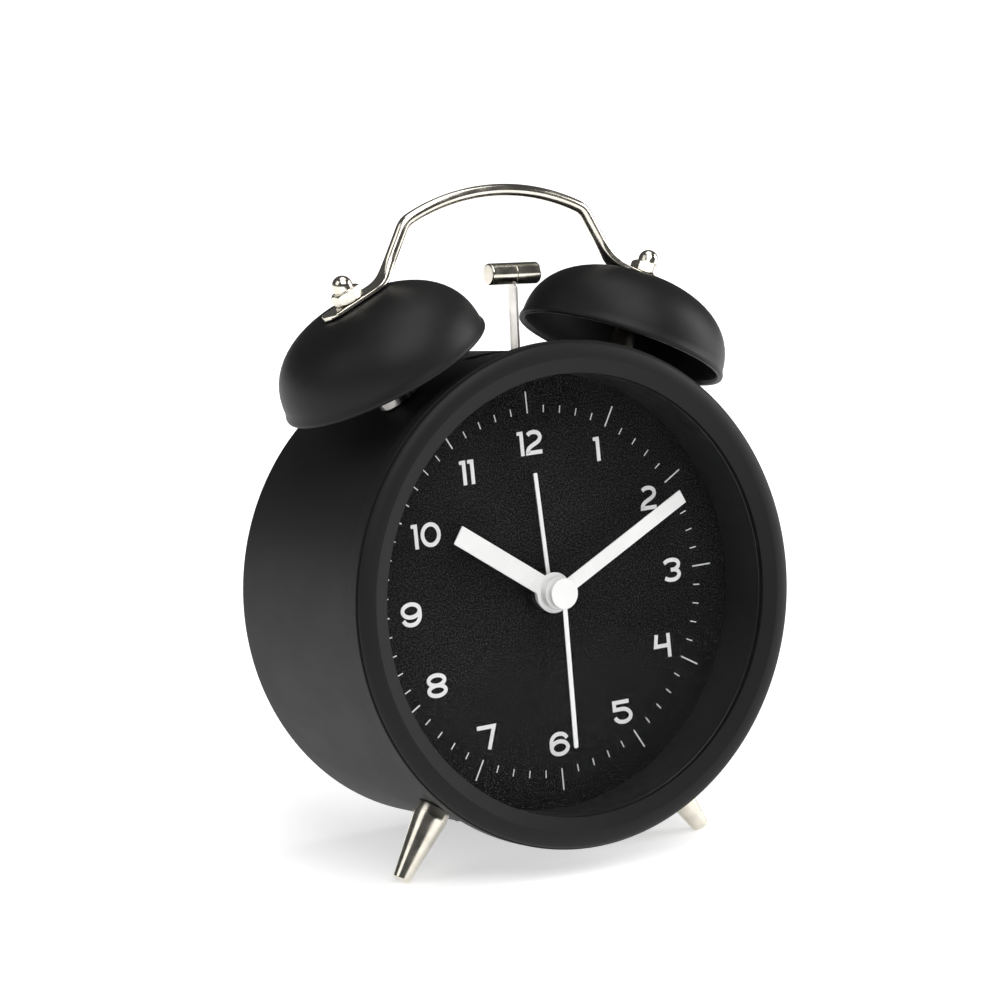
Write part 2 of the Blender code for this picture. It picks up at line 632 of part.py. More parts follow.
def striker():
    joined = [("rod", 0.8, 11.1, 16.6), ("rod", 0.6, 11.0, 16.0)]
    made = wheel("crank_wheel", 48, CRANK_TIP, (11.6, 12.6), CRANK_AT, joined=joined)
    pin = turned_cutter("crank_pin", rod(0.7, 10.9, 12.0), 10, (CRANK_AT[0] + 3.0, 0, CRANK_AT[1]))
    combine(made, "UNION", pin)
    shaft = [("rod", 0.5, 10.7, 13.2)]
    wheel("motor_pinion", 8, MOTOR_PINION_TIP, (11.3, 12.9), MOTOR_AT, BRASS, shaft)
    can = [(0, 9.0), (0.8, 9.0), (0.8, 10.4), (4.6, 10.4), (5.0, 10.0), (5.0, 3.1), (4.6, 2.7), (0, 2.7)]
    turned("striker_motor", can, STEEL, SIDES, on_axis(MOTOR_AT), closed=False)


def electrics():
    x, z = ROTOR_AT
    end = BOX_X - PLATE_T - 0.4
    outline = [(x - 3.4, z - 3.6), (end, z - 3.6), (end, 7.4), (end - 1, 7.4), (end - 1, z + 3.4)]
    outline += [(x + 0.2, z + 3.4), (x + 0.2, 7.4), (x - 0.8, 7.4), (x - 0.8, z + 3.4), (x - 3.4, z + 3.4)]
    stator = place("stator", prism_mesh("stator", outline, 15.1, 16.1), STEEL)
    combine(stator, "DIFFERENCE", turned_cutter("stator_hole", rod(2.5, 14, 17), 16, on_axis(ROTOR_AT)))
    length = end - 1 - (x + 0.2) - 2 * FIT
    middle = (end - 1 + x + 0.2) / 2
    spool = [(0, length / 2), (2.6, length / 2), (2.6, length / 2 - 0.8), (2.2, length / 2 - 0.8)]
    profile = spool + [(r, -h) for r, h in reversed(spool)]
    turned("coil", profile, COPPER, 16, (middle, 15.2, 4.4), ALONG_X, closed=False)
    place("circuit_board", box_mesh("circuit_board", (-25.3, -3.5), (16.2, 17.2), (-11.3, 2.5)), BOARD)


# ---------------------------------------------------------------- movement housing, battery and back


def screw_boss(name, at, low, high):
    return turned_cutter(name, rod(3.0, low, high), 16, on_axis(at))


def movement_housing():
    xs, zs = (-BOX_X, BOX_X), BOX_Z
    base = place("movement_base", box_mesh("movement_base", xs, BOX_Y, zs), BLACK_PLASTIC)
    wall = PLATE_T
    inside = box_mesh(
        "base_inside", (wall - BOX_X, BOX_X - wall), (BOX_Y[0] + wall, 30), (zs[0] + wall, zs[1] - wall)
    )
    collar = turned_cutter("collar", rod(3.9, -1.4, 1.6), 20)
    bore = turned_cutter("collar_bore", rod(2.9, -3, 4), 20)
    slot = box_mesh("base_slot", (-3.4, 6.8), (6.4, 10.6), (29, 40))
    combine(base, "UNION", collar)
    combine(base, "DIFFERENCE", cutter("base_inside", inside), bore, cutter("base_slot", slot))
    low = BOX_Y[1] + FIT
    mesh = box_mesh("movement_cover", xs, (low, low + 1.6), zs)
    cover = place("movement_cover", mesh, BLACK_PLASTIC)
    for number, at in enumerate(TOP_BOSSES):
        combine(cover, "UNION", screw_boss(f"cover_boss_{number}", at, low + 1, COVER_Y[0] - FIT))
        hole = turned_cutter(f"cover_boss_hole_{number}", rod(1.5, 24, 40), 12, on_axis(at))
        combine(cover, "DIFFERENCE", hole)
    for name, at in (("time", TIME_AT), ("alarm", ALARM_AT)):
        combine(cover, "DIFFERENCE", turned_cutter(f"{name}_cover_hole", rod(1.6, 15, 25), 14, on_axis(at)))


def battery_tray():
    xs, ys, zs = TRAY
    tray = place("battery_tray", box_mesh("battery_tray", *TRAY), BLACK_PLASTIC)
    inside = box_mesh("tray_inside", (xs[0] + 1, xs[1] - 1), (ys[0] + 1, 45), (zs[0] + 1, zs[1] - 1))
    boss = turned_cutter("tray_boss", rod(3.4, 24, ys[1]), 16, on_axis(LOW_BOSS))
    hole = turned_cutter("tray_boss_hole", rod(1.5, 26, 45), 12, on_axis(LOW_BOSS))
    combine(tray, "UNION", boss)
    combine(tray, "DIFFERENCE", cutter("tray_inside", inside), hole)
    half, tip = BATTERY_L / 2, 2.7
    cell = [(0, half), (tip, half), (tip, half - 1.2), (BATTERY_R - 0.6, half - 1.3), (BATTERY_R, half - 1.9)]
    cell += [(BATTERY_R, 0.5 - half), (BATTERY_R - 0.5, -half), (0, -half)]
    turned("battery_cell", cell, CELL, 20, BATTERY_AT, ALONG_X, closed=False)
    contact = box_mesh("contact_plate", (half + FIT, half + 0.8), (21.5, 33.0), (-30.0, -18.4))
    place("contact_plate", contact, STEEL)
    contact_spring(-half - FIT)


def contact_spring(end):
    """A conical coil between the tray's wall and the cell's flat end."""
    turns, per_turn, wire = 2.5, 12, 0.35
    start = TRAY[0][0] + 1 + FIT + wire
    curve = bpy.data.curves.new("contact_coil", "CURVE")
    curve.dimensions = "3D"
    curve.bevel_depth = wire * MM
    curve.bevel_resolution = 1
    curve.use_fill_caps = True
    count = int(turns * per_turn) + 1
    spline = curve.splines.new("POLY")
    spline.points.add(count - 1)
    for number, point in enumerate(spline.points):
        along = number / (count - 1)
        angle = 2 * math.pi * turns * along
        radius = 5.0 - 2.4 * along
        x = start + (end - wire - start) * along
        point.co = (x * MM, radius * math.cos(angle) * MM, radius * math.sin(angle) * MM, 1)
    made = bpy.data.objects.new("contact_spring", curve)
    made.parent = CLOCK
    made.location = (0, BATTERY_AT[1] * MM, BATTERY_AT[2] * MM)
    curve.materials.append(NICKEL)
    PARTS.objects.link(made)


def back_cover():
    low, high = COVER_Y
    cover = turned("back_cover", rod(COVER_R, low, high), BLACK_PLASTIC, RINGS, closed=False)
    xs, _, zs = DOOR
    opening = box_mesh("door_opening", (xs[0] - 0.4, xs[1] + 0.4), (30, 45), (zs[0] - 0.4, zs[1] + 0.4))
    combine(cover, "DIFFERENCE", cutter("door_opening", opening))
    for name, at in (("time", TIME_AT), ("alarm", ALARM_AT)):
        combine(cover, "DIFFERENCE", turned_cutter(f"{name}_back_hole", rod(1.6, 30, 45), 14, on_axis(at)))
    for number, at in enumerate((*TOP_BOSSES, LOW_BOSS)):
        well = [(0, 45), (3.0, 45), (3.0, high - 1.6), (1.6, high - 1.6), (1.6, 30), (0, 30)]
        combine(cover, "DIFFERENCE", turned_cutter(f"screw_well_{number}", well, 14, on_axis(at)))
        low_end = 28.0
        profile = [(0, high - 0.1), (2.5, high - 0.1), (2.5, high - 1.3), (1.2, high - 1.3), (1.2, low_end), (0, low_end)]
        turned(f"cover_screw_{number + 1}", profile, STEEL, 12, on_axis(at), closed=False)
    x, _, z = SWITCH_AT
    slot = box_mesh("switch_slot", (x - 1.3, x + SWITCH_TRAVEL + 1.3), (30, 45), (z - 1.5, z + 1.5))
    combine(cover, "DIFFERENCE", cutter("switch_slot", slot))
    hole = turned_cutter("button_hole", rod(3.5, 30, 45), 18, BUTTON_AT)
    combine(cover, "DIFFERENCE", hole)
    place("battery_door", box_mesh("battery_door", *DOOR), BLACK_PLASTIC)


def controls():
    low, high = KNOB_Y
    for name, at, teeth, tip, reach in (
        ("time_knob", TIME_AT, 10, CANNON_TIP, (5.4, 6.4)),
        ("alarm_knob", ALARM_AT, 10, SET_PINION_TIP, (2.6, 3.5)),
    ):
        mesh = toothed_mesh(name, 24, KNOB_R, low, high, 0.35)
        knob = place(name, mesh, BLACK_PLASTIC, on_axis(at), ALONG_Y)
        shaft = turned_cutter(f"{name}_shaft", rod(0.9, reach[0] + 0.2, low + 1), 12, on_axis(at))
        gear = cutter(f"{name}_gear", toothed_mesh(f"{name}_gear", teeth, tip, *reach), on_axis(at), ALONG_Y)
        combine(knob, "UNION", shaft, gear)
    x, _, z = SWITCH_AT
    slider = place("alarm_switch", box_mesh("alarm_switch", (x - 2.5, x + 2.5), (38.7, 40.4), (z - 2.4, z + 2.4)), NICKEL)
    stem = box_mesh("switch_stem", (x - 1.0, x + 1.0), (34.6, 39.0), (z - 1.1, z + 1.1))
    shoe = box_mesh("switch_shoe", (x - 3.0, x + 3.0), (33.8, 35.5), (z - 2.4, z + 2.4))
    combine(slider, "UNION", cutter("switch_stem", stem), cutter("switch_shoe", shoe))
    profile = [(0, 40.6), (2.8, 40.6), (3.2, 40.2), (3.2, 35.4), (4.4, 35.4), (4.4, 34.4), (1.4, 34.4), (1.4, 24), (0, 24)]
    turned("light_button", profile, BLACK_PLASTIC, 18, BUTTON_AT, closed=False)


def stand_on_ground():
    """Lean the clock back and centre its box over the origin, with its lowest point on z = 0."""
    CLOCK.rotation_euler = (-LEAN, 0, 0)
    bpy.context.view_layer.update()
    graph = bpy.context.evaluated_depsgraph_get()
    corners = []
    for piece in PARTS.objects:
        if piece.type == "EMPTY":
            continue
        shape = piece.evaluated_get(graph)
        mesh = shape.to_mesh()
        corners += [shape.matrix_world @ vert.co for vert in mesh.vertices]
        shape.to_mesh_clear()
    low = [min(corner[axis] for corner in corners) for axis in range(3)]
    high = [max(corner[axis] for corner in corners) for axis in range(3)]
    CLOCK.location = (-(low[0] + high[0]) / 2, -(low[1] + high[1]) / 2, -low[2])
    bpy.context.view_layer.update()


def main():
    case_drum()
    bezel_ring()
    glass_lens()
    spacer_ring()
    dial_plate()
    dial_lamp()
    bells()
    handle()
    feet()
    hammer()
    hands()
    motion_work()
    going_train()
    striker()
    electrics()
    movement_housing()
    battery_tray()
    back_cover()
    controls()
    stand_on_ground()


main()
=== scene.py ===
"""Twin-bell alarm clock, as it looks: smooth turned shells, bent rod, printed dial and finishes.

Lengths here are millimetres in the clock's own axes, as in the CAD model: the dial's front face is
y = 0 with its centre at the origin, x to the right, y to the rear and z to twelve o'clock.
"""
import json
import math

import bmesh
import bpy
from mathutils import Matrix, Vector


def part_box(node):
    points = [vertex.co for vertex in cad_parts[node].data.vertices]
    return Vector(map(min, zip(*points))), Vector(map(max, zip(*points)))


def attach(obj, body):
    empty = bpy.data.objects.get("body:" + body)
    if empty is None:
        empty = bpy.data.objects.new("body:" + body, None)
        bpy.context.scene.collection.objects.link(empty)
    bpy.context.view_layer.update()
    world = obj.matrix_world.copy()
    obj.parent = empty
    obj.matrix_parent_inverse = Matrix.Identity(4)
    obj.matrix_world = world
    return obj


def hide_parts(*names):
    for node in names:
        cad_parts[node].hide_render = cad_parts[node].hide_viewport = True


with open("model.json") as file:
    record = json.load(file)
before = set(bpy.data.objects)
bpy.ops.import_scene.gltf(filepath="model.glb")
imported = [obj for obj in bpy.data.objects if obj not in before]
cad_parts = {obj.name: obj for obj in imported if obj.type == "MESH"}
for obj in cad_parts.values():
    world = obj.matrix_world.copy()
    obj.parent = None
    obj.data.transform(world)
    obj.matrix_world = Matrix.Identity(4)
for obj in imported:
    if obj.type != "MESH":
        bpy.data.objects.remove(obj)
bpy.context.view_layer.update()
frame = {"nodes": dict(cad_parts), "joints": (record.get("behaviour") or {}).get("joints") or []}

MM = 0.001

# ---------------------------------------------------------------- frames of the clock

JOINTS = {joint["name"]: joint for joint in frame["joints"]}
HAND_AXIS = Vector(JOINTS["minute_spin"]["axis"])
DIAL_CENTRE = Vector(JOINTS["minute_spin"]["pos_m"])
CASE = Matrix.Translation(DIAL_CENTRE) @ Matrix.Rotation(math.atan2(HAND_AXIS.z, HAND_AXIS.y), 4, "X")
SIDES = (("left", -1), ("right", 1))
# the printed dial sits a little anticlockwise in the case
PRINT = CASE @ Matrix.Rotation(math.radians(-1.65), 4, "Y")


def frame_at(at=(0, 0, 0), turn=0.0, axis="Y"):
    return CASE @ Matrix.Translation(Vector(at) * MM) @ Matrix.Rotation(turn, 4, axis)


def depthwise(at=(0, 0, 0)):
    """A frame whose own Z points to the clock's rear."""
    return frame_at(at, -math.pi / 2, "X")


def from_joint(name):
    """The joint's place in millimetres of the clock's axes."""
    return (CASE.inverted() @ Vector(JOINTS[name]["pos_m"])) / MM


BELL_TILT = math.radians(25.5)
FOOT_ANGLE = math.radians(34)
DRUM_R = 48.0
BELL_X, BELL_Y, BELL_Z = 27.44, 8.5, 46.12  # the middle of the right bell's mouth
BELL = {side: frame_at((sign * BELL_X, BELL_Y, BELL_Z), sign * BELL_TILT) for side, sign in SIDES}
FOOT = {side: frame_at((0, 3.5, 0), sign * (math.pi - FOOT_ANGLE)) for side, sign in SIDES}
PIVOT = from_joint("hammer_swing")
BELL_R = 21.35
BELL_CROWN = 15.05
TAB_LOW = BELL_CROWN + 0.2
TAB_T = 1.0
NUT_LOW = TAB_LOW + TAB_T + 0.2
HAMMER = frame_at((PIVOT.x, BELL_Y, PIVOT.z), math.radians(2.06))
TIME_AT = from_joint("time_knob_spin")
ALARM_AT = from_joint("alarm_knob_spin")
BUTTON_AT = (-20, 0, -4)
COVER_SCREWS_AT = ((-22.5, 28.5), (22.5, 28.5), (0.0, -36.4))


# ---------------------------------------------------------------- materials


class Finish:
    """A Principled material whose colour, gloss and relief are built up from patterns."""

    def __init__(self, name, colour, roughness, metallic=0.0, **sockets):
        self.material = bpy.data.materials.new(name)
        self.material.use_nodes = True
        self.tree = self.material.node_tree
        self.shader = self.tree.nodes["Principled BSDF"]
        self.colour = (*colour, 1.0)
        self.shader.inputs["Base Color"].default_value = self.colour
        self.shader.inputs["Roughness"].default_value = roughness
        self.shader.inputs["Metallic"].default_value = metallic
        for key, value in sockets.items():
            self.shader.inputs[key.replace("_", " ")].default_value = value
        self.place = self.node("ShaderNodeTexCoord").outputs["Object"]
        self.normal = None
        self.gloss = None
        self.tint = None

    def node(self, kind, **values):
        made = self.tree.nodes.new(kind)
        for key, value in values.items():
            setattr(made, key, value)
        return made

    def link(self, source, target):
        self.tree.links.new(source, target)
        return target

    def stretched(self, stretch):
        mapping = self.node("ShaderNodeMapping")
        mapping.inputs["Scale"].default_value = stretch
        self.link(self.place, mapping.inputs["Vector"])
        return mapping.outputs["Vector"]

    def noise(self, scale, detail=4.0, rough=0.55, stretch=None):
        made = self.node("ShaderNodeTexNoise")
        made.inputs["Scale"].default_value = scale
        made.inputs["Detail"].default_value = detail
        made.inputs["Roughness"].default_value = rough
        self.link(self.stretched(stretch) if stretch else self.place, made.inputs["Vector"])
        return made.outputs["Fac"]

    def rings(self, scale, direction="Z", distortion=0.3):
        made = self.node("ShaderNodeTexWave", wave_type="BANDS", bands_direction=direction)
        made.inputs["Scale"].default_value = scale
        made.inputs["Distortion"].default_value = distortion
        made.inputs["Detail"].default_value = 3.0
        made.inputs["Detail Scale"].default_value = 2.0
        self.link(self.place, made.inputs["Vector"])
        return made.outputs["Fac"]

    def spread(self, source, low, high, start=0.35, end=0.65):
        """The pattern between two values."""
        made = self.node("ShaderNodeMapRange")
        made.inputs["From Min"].default_value = start
        made.inputs["From Max"].default_value = end
        made.inputs["To Min"].default_value = low
        made.inputs["To Max"].default_value = high
        self.link(source, made.inputs["Value"])
        return made.outputs["Result"]

    def vary_colour(self, source, low, high, start=0.35, end=0.65):
        """Darkens and lightens the colour with the pattern, by these factors."""
        made = self.node("ShaderNodeMix", data_type="RGBA", blend_type="MULTIPLY")
        made.inputs["Factor"].default_value = 1.0
        if self.tint is None:
            made.inputs[6].default_value = self.colour
        else:
            self.link(self.tint, made.inputs[6])
        grey = self.node("ShaderNodeCombineColor")
        value = self.spread(source, low, high, start, end)
        for channel in grey.inputs:
            self.link(value, channel)
        self.link(grey.outputs["Color"], made.inputs[7])
        self.tint = made.outputs[2]
        self.link(self.tint, self.shader.inputs["Base Color"])
        return self

    def vary_roughness(self, source, low, high, start=0.35, end=0.65):
        self.link(self.spread(source, low, high, start, end), self.shader.inputs["Roughness"])
        return self

    def relief(self, source, depth, strength=1.0):
        """Raises and lowers the surface with the pattern, by a depth in millimetres."""
        made = self.node("ShaderNodeBump")
        made.inputs["Distance"].default_value = depth * MM
        made.inputs["Strength"].default_value = strength
        self.link(source, made.inputs["Height"])
        if self.normal is not None:
            self.link(self.normal, made.inputs["Normal"])
        self.normal = made.outputs["Normal"]
        self.link(self.normal, self.shader.inputs["Normal"])
        return self


def soft_black(name, level=0.0066, roughness=0.5):
    """Soft-touch lacquer: a very fine grain, with faint cloudiness from handling."""
    made = Finish(name, (level, level, level * 1.03), roughness, Specular_IOR_Level=0.19)
    made.vary_colour(made.noise(45, 3), 0.95, 1.05)
    made.vary_roughness(made.noise(110, 4), roughness - 0.015, roughness + 0.02)
    made.relief(made.noise(5200, 2, 0.5), 0.012)
    return made.relief(made.noise(700, 3, 0.5), 0.006).material


def plated(name, colour=(0.74, 0.7, 0.61), roughness=0.17, grain=(1, 1, 1), depth=0.004):
    """Nickel plate over drawn or turned steel, with the marks of its making showing through."""
    made = Finish(name, colour, roughness, 1.0)
    made.vary_colour(made.noise(260, 4), 0.86, 1.06)
    made.vary_roughness(made.noise(420, 5, 0.6, grain), roughness - 0.06, roughness + 0.12)
    return made.relief(made.noise(900, 4, 0.6, grain), depth).material


def turned_plate(name, roughness=0.16):
    """Nickel over a turned surface: fine rings around the piece."""
    made = Finish(name, (0.74, 0.7, 0.61), roughness, 1.0)
    made.vary_colour(made.noise(240, 4), 0.86, 1.06)
    made.vary_roughness(made.noise(350, 5), roughness - 0.05, roughness + 0.1)
    made.relief(made.rings(2600), 0.0012)
    return made.relief(made.noise(800, 4), 0.003).material


def moulded(name, colour, roughness=0.45, grain=2600, depth=0.012):
    """Injection-moulded plastic: spark-eroded grain and slight gloss variation."""
    made = Finish(name, colour, roughness)
    made.vary_colour(made.noise(60, 3), 0.9, 1.1)
    made.vary_roughness(made.noise(300, 4), roughness - 0.05, roughness + 0.07)
    return made.relief(made.noise(grain, 3), depth).material


def metal(name, colour, roughness, scale=500):
    made = Finish(name, colour, roughness, 1.0)
    made.vary_colour(made.noise(160, 4), 0.85, 1.08)
    made.vary_roughness(made.noise(scale, 5), roughness - 0.07, roughness + 0.12)
    return made.relief(made.noise(scale * 3, 4), 0.004).material


def painted_white(name):
    """White lacquer on a stamped sheet hand."""
    made = Finish(name, (0.93, 0.93, 0.92), 0.42)
    made.vary_colour(made.noise(90, 3), 0.95, 1.03)
    made.vary_roughness(made.noise(260, 4), 0.36, 0.5)
    return made.relief(made.noise(1500, 3), 0.004).material


def dial_print(name):
    """Matt black print with the tooth of a textured stock."""
    made = Finish(name, (0.0085, 0.0085, 0.0088), 0.62, Specular_IOR_Level=0.1)
    made.vary_colour(made.noise(38, 3), 0.8, 1.2)
    made.vary_colour(made.noise(2700, 2, 0.8), 0.0, 3.4, 0.42, 0.66)
    made.vary_roughness(made.noise(900, 4), 0.52, 0.72)
    return made.relief(made.noise(2700, 3, 0.65), 0.05).material


def ink(name):
    made = Finish(name, (0.93, 0.93, 0.925), 0.5)
    made.vary_colour(made.noise(700, 4), 0.95, 1.02)
    return made.relief(made.noise(2400, 3), 0.004).material


def clear(name, alpha):
    made = Finish(name, (0.01, 0.01, 0.01), 0.03, Alpha=alpha, Specular_IOR_Level=0.2)
    made.vary_roughness(made.noise(30, 2), 0.02, 0.05)
    return made.material


CASE_PAINT = soft_black("case_black")
BELL_PAINT = soft_black("bell_black", 0.0066, 0.46)
WALL_PAINT = moulded("inner_wall_black", (0.02, 0.02, 0.0205), 0.34, 1200, 0.004)
HANDLE_PLATE = plated("drawn_nickel", roughness=0.15, grain=(0.25, 1, 1))
PLATE = plated("nickel")
# the strip's nickel is made lighter than the other plate as a painted highlight, standing in for the bright
# reflection it catches
STRIP_PLATE_PAINTED_BRIGHT = plated("strip_nickel", (0.86, 0.83, 0.78), 0.34, (1, 1, 0.1), 0.003)
TURNED = turned_plate("turned_nickel")
# the washer's nickel is darkened far below the other plate as painted shade, standing in for the shade under
# the bell
NICKEL_DARKENED_AS_SHADE = plated("washer_nickel", (0.3, 0.29, 0.28), 0.12)
DIAL_BLACK = dial_print("dial_black")
INK = ink("dial_white")
WHITE = painted_white("hand_white")
LENS = clear("clear_lens", 0.05)
BLACK_PLASTIC = moulded("black_plastic", (0.022, 0.022, 0.023))
KNOB_PLASTIC = moulded("knob_plastic", (0.03, 0.03, 0.031), 0.38, 3200, 0.006)
RUBBER = moulded("black_rubber", (0.014, 0.014, 0.014), 0.78, 1800, 0.02)
STEEL = metal("steel", (0.52, 0.52, 0.53), 0.34)
BRASS = metal("brass", (0.73, 0.53, 0.22), 0.28)
COPPER = metal("copper", (0.7, 0.3, 0.15), 0.35, 1400)
NYLON = moulded("gear_nylon", (0.72, 0.7, 0.62), 0.4, 1500, 0.004)
LAMP = moulded("clear_lamp", (0.75, 0.75, 0.7), 0.15, 400, 0.002)
BOARD = moulded("board_green", (0.02, 0.14, 0.05), 0.35, 900, 0.01)
CELL = metal("cell_wrap", (0.09, 0.11, 0.3), 0.3)


# ---------------------------------------------------------------- mesh making


CREASE = 32  # edges that turn by more degrees than this stay sharp


def to_mesh(graph, name, sharp=CREASE):
    bmesh.ops.recalc_face_normals(graph, faces=graph.faces)
    mesh = bpy.data.meshes.new(name)
    graph.to_mesh(mesh)
    graph.free()
    mesh.shade_smooth()
    mesh.set_sharp_from_angle(angle=math.radians(sharp))
    return mesh


def weigh_normals(made):
    weighted = made.modifiers.new("weighted", "WEIGHTED_NORMAL")
    weighted.keep_sharp = True
    weighted.weight = 60


def piece(name, mesh, finish, body, place, replaces):
    made = bpy.data.objects.new(name, mesh)
    bpy.context.scene.collection.objects.link(made)
    made.matrix_world = place
    mesh.materials.append(finish)
    weigh_normals(made)
    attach(made, body)
    if replaces:
        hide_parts(*replaces)
    return made


def boolean(made, operation, *tools):
    """Cuts or joins with closed meshes, each given with its frame, and keeps the result as the mesh."""
    finish = made.data.materials[0]
    for mesh, place in tools:
        other = bpy.data.objects.new("tool", mesh)
        bpy.context.scene.collection.objects.link(other)
        other.matrix_world = place
        weighted = made.modifiers.get("weighted")
        if weighted:
            made.modifiers.remove(weighted)
        modifier = made.modifiers.new("boolean", "BOOLEAN")
        modifier.operation = operation
        modifier.solver = "EXACT"
        modifier.object = other
        bpy.context.view_layer.update()
        graph = bpy.context.evaluated_depsgraph_get()
        result = bpy.data.meshes.new_from_object(made.evaluated_get(graph))
        made.modifiers.clear()
        made.data = result
        bpy.data.objects.remove(other, do_unlink=True)
    made.data.materials.clear()
    made.data.materials.append(finish)
    made.data.shade_smooth()
    made.data.set_sharp_from_angle(angle=math.radians(CREASE))
    weigh_normals(made)


def filleted(corners, closed=True, step=12.0):
    """Points with a third value get an arc of that radius in place of their corner."""
    count = len(corners)
    out = []
    for i, corner in enumerate(corners):
        here = Vector(corner[:2])
        radius = corner[2] if len(corner) > 2 else 0
        if not radius or (not closed and i in (0, count - 1)):
            out.append(tuple(here))
            continue
        back = Vector(corners[i - 1][:2]) - here
        ahead = Vector(corners[(i + 1) % count][:2]) - here
        opening = back.angle(ahead)
        reach = min(radius / math.tan(opening / 2), 0.49 * back.length, 0.49 * ahead.length)
        radius = reach * math.tan(opening / 2)
        start = here + back.normalized() * reach
        end = here + ahead.normalized() * reach
        centre = here + (back.normalized() + ahead.normalized()).normalized() * radius / math.sin(opening / 2)
        first = start - centre
        sweep = first.angle_signed(end - centre)
        pieces = max(2, math.ceil(abs(math.degrees(sweep)) / step))
        for k in range(pieces + 1):
            turn = Matrix.Rotation(-sweep * k / pieces, 2)
            out.append(tuple(centre + turn @ first))
    return out


def lathe(name, profile, sides=128, closed=False, flutes=0, flute_depth=0.0, sharp=CREASE):
    """Turns (radius, height) points about Z. Flutes cut into the points marked with a third value."""
    graph = bmesh.new()
    rings = []
    for point in profile:
        radius, height = point[0], point[1]
        deep = flute_depth if len(point) > 2 and point[2] else 0
        if radius < 1e-6:
            rings.append([graph.verts.new((0, 0, height * MM))])
            continue
        ring = []
        for i in range(sides):
            turn = 2 * math.pi * i / sides
            wave = 0.5 - 0.5 * math.cos(turn * flutes) if deep else 0
            here = (radius - deep * wave**0.7) * MM
            ring.append(graph.verts.new((here * math.cos(turn), here * math.sin(turn), height * MM)))
        rings.append(ring)
    pairs = list(zip(rings, rings[1:]))
    if closed:
        pairs.append((rings[-1], rings[0]))
    for a, b in pairs:
        for i in range(sides):
            j = (i + 1) % sides
            if len(a) == 1 and len(b) == 1:
                break
            if len(a) == 1:
                graph.faces.new((a[0], b[j], b[i]))
            elif len(b) == 1:
                graph.faces.new((a[i], a[j], b[0]))
            else:
                graph.faces.new((a[i], a[j], b[j], b[i]))
    return to_mesh(graph, name, sharp)


def block(name, xs, ys, zs, bevel=0.0, segments=2):
    graph = bmesh.new()
    bmesh.ops.create_cube(graph, size=1.0)
    size = [(b - a) * MM for a, b in (xs, ys, zs)]
    middle = Vector([(a + b) / 2 * MM for a, b in (xs, ys, zs)])
    place = Matrix.Translation(middle) @ Matrix.Diagonal((*size, 1))
    bmesh.ops.transform(graph, matrix=place, verts=graph.verts)
    if bevel:
        bmesh.ops.bevel(
            graph, geom=graph.edges[:], offset=bevel * MM, segments=segments, affect="EDGES", profile=0.5,
        )
    return to_mesh(graph, name)


def plate(name, outline, low, high, bevel=0.0, segments=2):
    """A flat outline of (x, z) points, thick from depth low to depth high, with rounded face edges."""
    graph = bmesh.new()
    face = graph.faces.new([graph.verts.new((x * MM, low * MM, z * MM)) for x, z in outline])
    grown = bmesh.ops.extrude_face_region(graph, geom=[face])
    moved = [part for part in grown["geom"] if isinstance(part, bmesh.types.BMVert)]
    bmesh.ops.translate(graph, verts=moved, vec=(0, (high - low) * MM, 0))
    bmesh.ops.recalc_face_normals(graph, faces=graph.faces)
    if bevel:
        rims = [edge for edge in graph.edges if abs(edge.verts[0].co.y - edge.verts[1].co.y) < 1e-9]
        bmesh.ops.bevel(graph, geom=rims, offset=bevel * MM, segments=segments, affect="EDGES", profile=0.5)
    return to_mesh(graph, name)


def arc(centre, radius, start, end, count):
    """Points round a centre, between two angles in degrees."""
    turns = [math.radians(start + (end - start) * i / (count - 1)) for i in range(count)]
    return [(centre[0] + radius * math.cos(t), centre[1] + radius * math.sin(t)) for t in turns]


def rod_profile(radius, low, high, edge=0.2):
    """A solid round rod between two heights, with softened ends."""
    return filleted([(0, high), (radius, high, edge), (radius, low, edge), (0, low)], closed=False)


# ---------------------------------------------------------------- case


def case_shell():
    """The drum: a sheet tube, turned in at the back, with the hammer's slot in its top."""
    wall, front, rear, opening_r = 1.0, -10.8, 38.7, 45.2
    outer = [(opening_r, rear, 0.3), (DRUM_R, rear, 1.5), (DRUM_R, front)]
    inner = [(DRUM_R - wall, front), (DRUM_R - wall, rear - wall, 0.6), (opening_r, rear - wall)]
    mesh = lathe("case_drum", filleted(outer + inner), 192, closed=True)
    made = piece("drum_shell", mesh, CASE_PAINT, "case", depthwise(), ["case_drum"])
    slot = filleted([(-9.2, 6.6, 1.6), (9.2, 6.6, 1.6), (9.2, 10.4, 1.6), (-9.2, 10.4, 1.6)])
    cutter = plate("slot", slot, 40, 56)
    upright = CASE @ Matrix(((1, 0, 0, 0), (0, 0, 1, 0), (0, 1, 0, 0), (0, 0, 0, 1)))
    # the sheet is thinned behind the slot, so its rim shows as a fine edge over a dark gap
    under = [*arc((0, 0), 47.72, 102.5, 77.5, 15), (10.0, 42.0), (-10.0, 42.0)]
    boolean(made, "DIFFERENCE", (cutter, upright), (plate("under", under, 5.2, 13.0), CASE))


def bezel():
    """Spun ring: a fine seam behind the front edge, a wide roll to the crest and a slope in to the glass."""
    crest, front, reach, rise = 46.5, -13.05, 3.22, 1.37
    turns = [math.pi / 2 * k / 16 for k in range(17)]
    roll = [(crest + reach * math.cos(t), front - rise * math.sin(t)) for t in turns]
    bead = [
        (48.3, -9.8), (50.05, -9.8, 0.15), (50.05, -12.62, 0.1),
        (49.6, -12.68), (49.6, -12.9), (49.72, -12.92),
    ]
    lip = filleted([roll[-1], (43.6, -13.5, 0.12), (43.54, -12.3), (46.95, -12.3)], closed=False)
    seat = [(46.95, -11.1), (48.3, -11.1)]
    rear = filleted(bead, closed=False)
    mesh = lathe("bezel", rear + roll[:-1] + lip + seat, 224, closed=True, sharp=14)
    piece("bezel_ring_front", mesh, CASE_PAINT, "case", depthwise(), ["bezel_ring"])


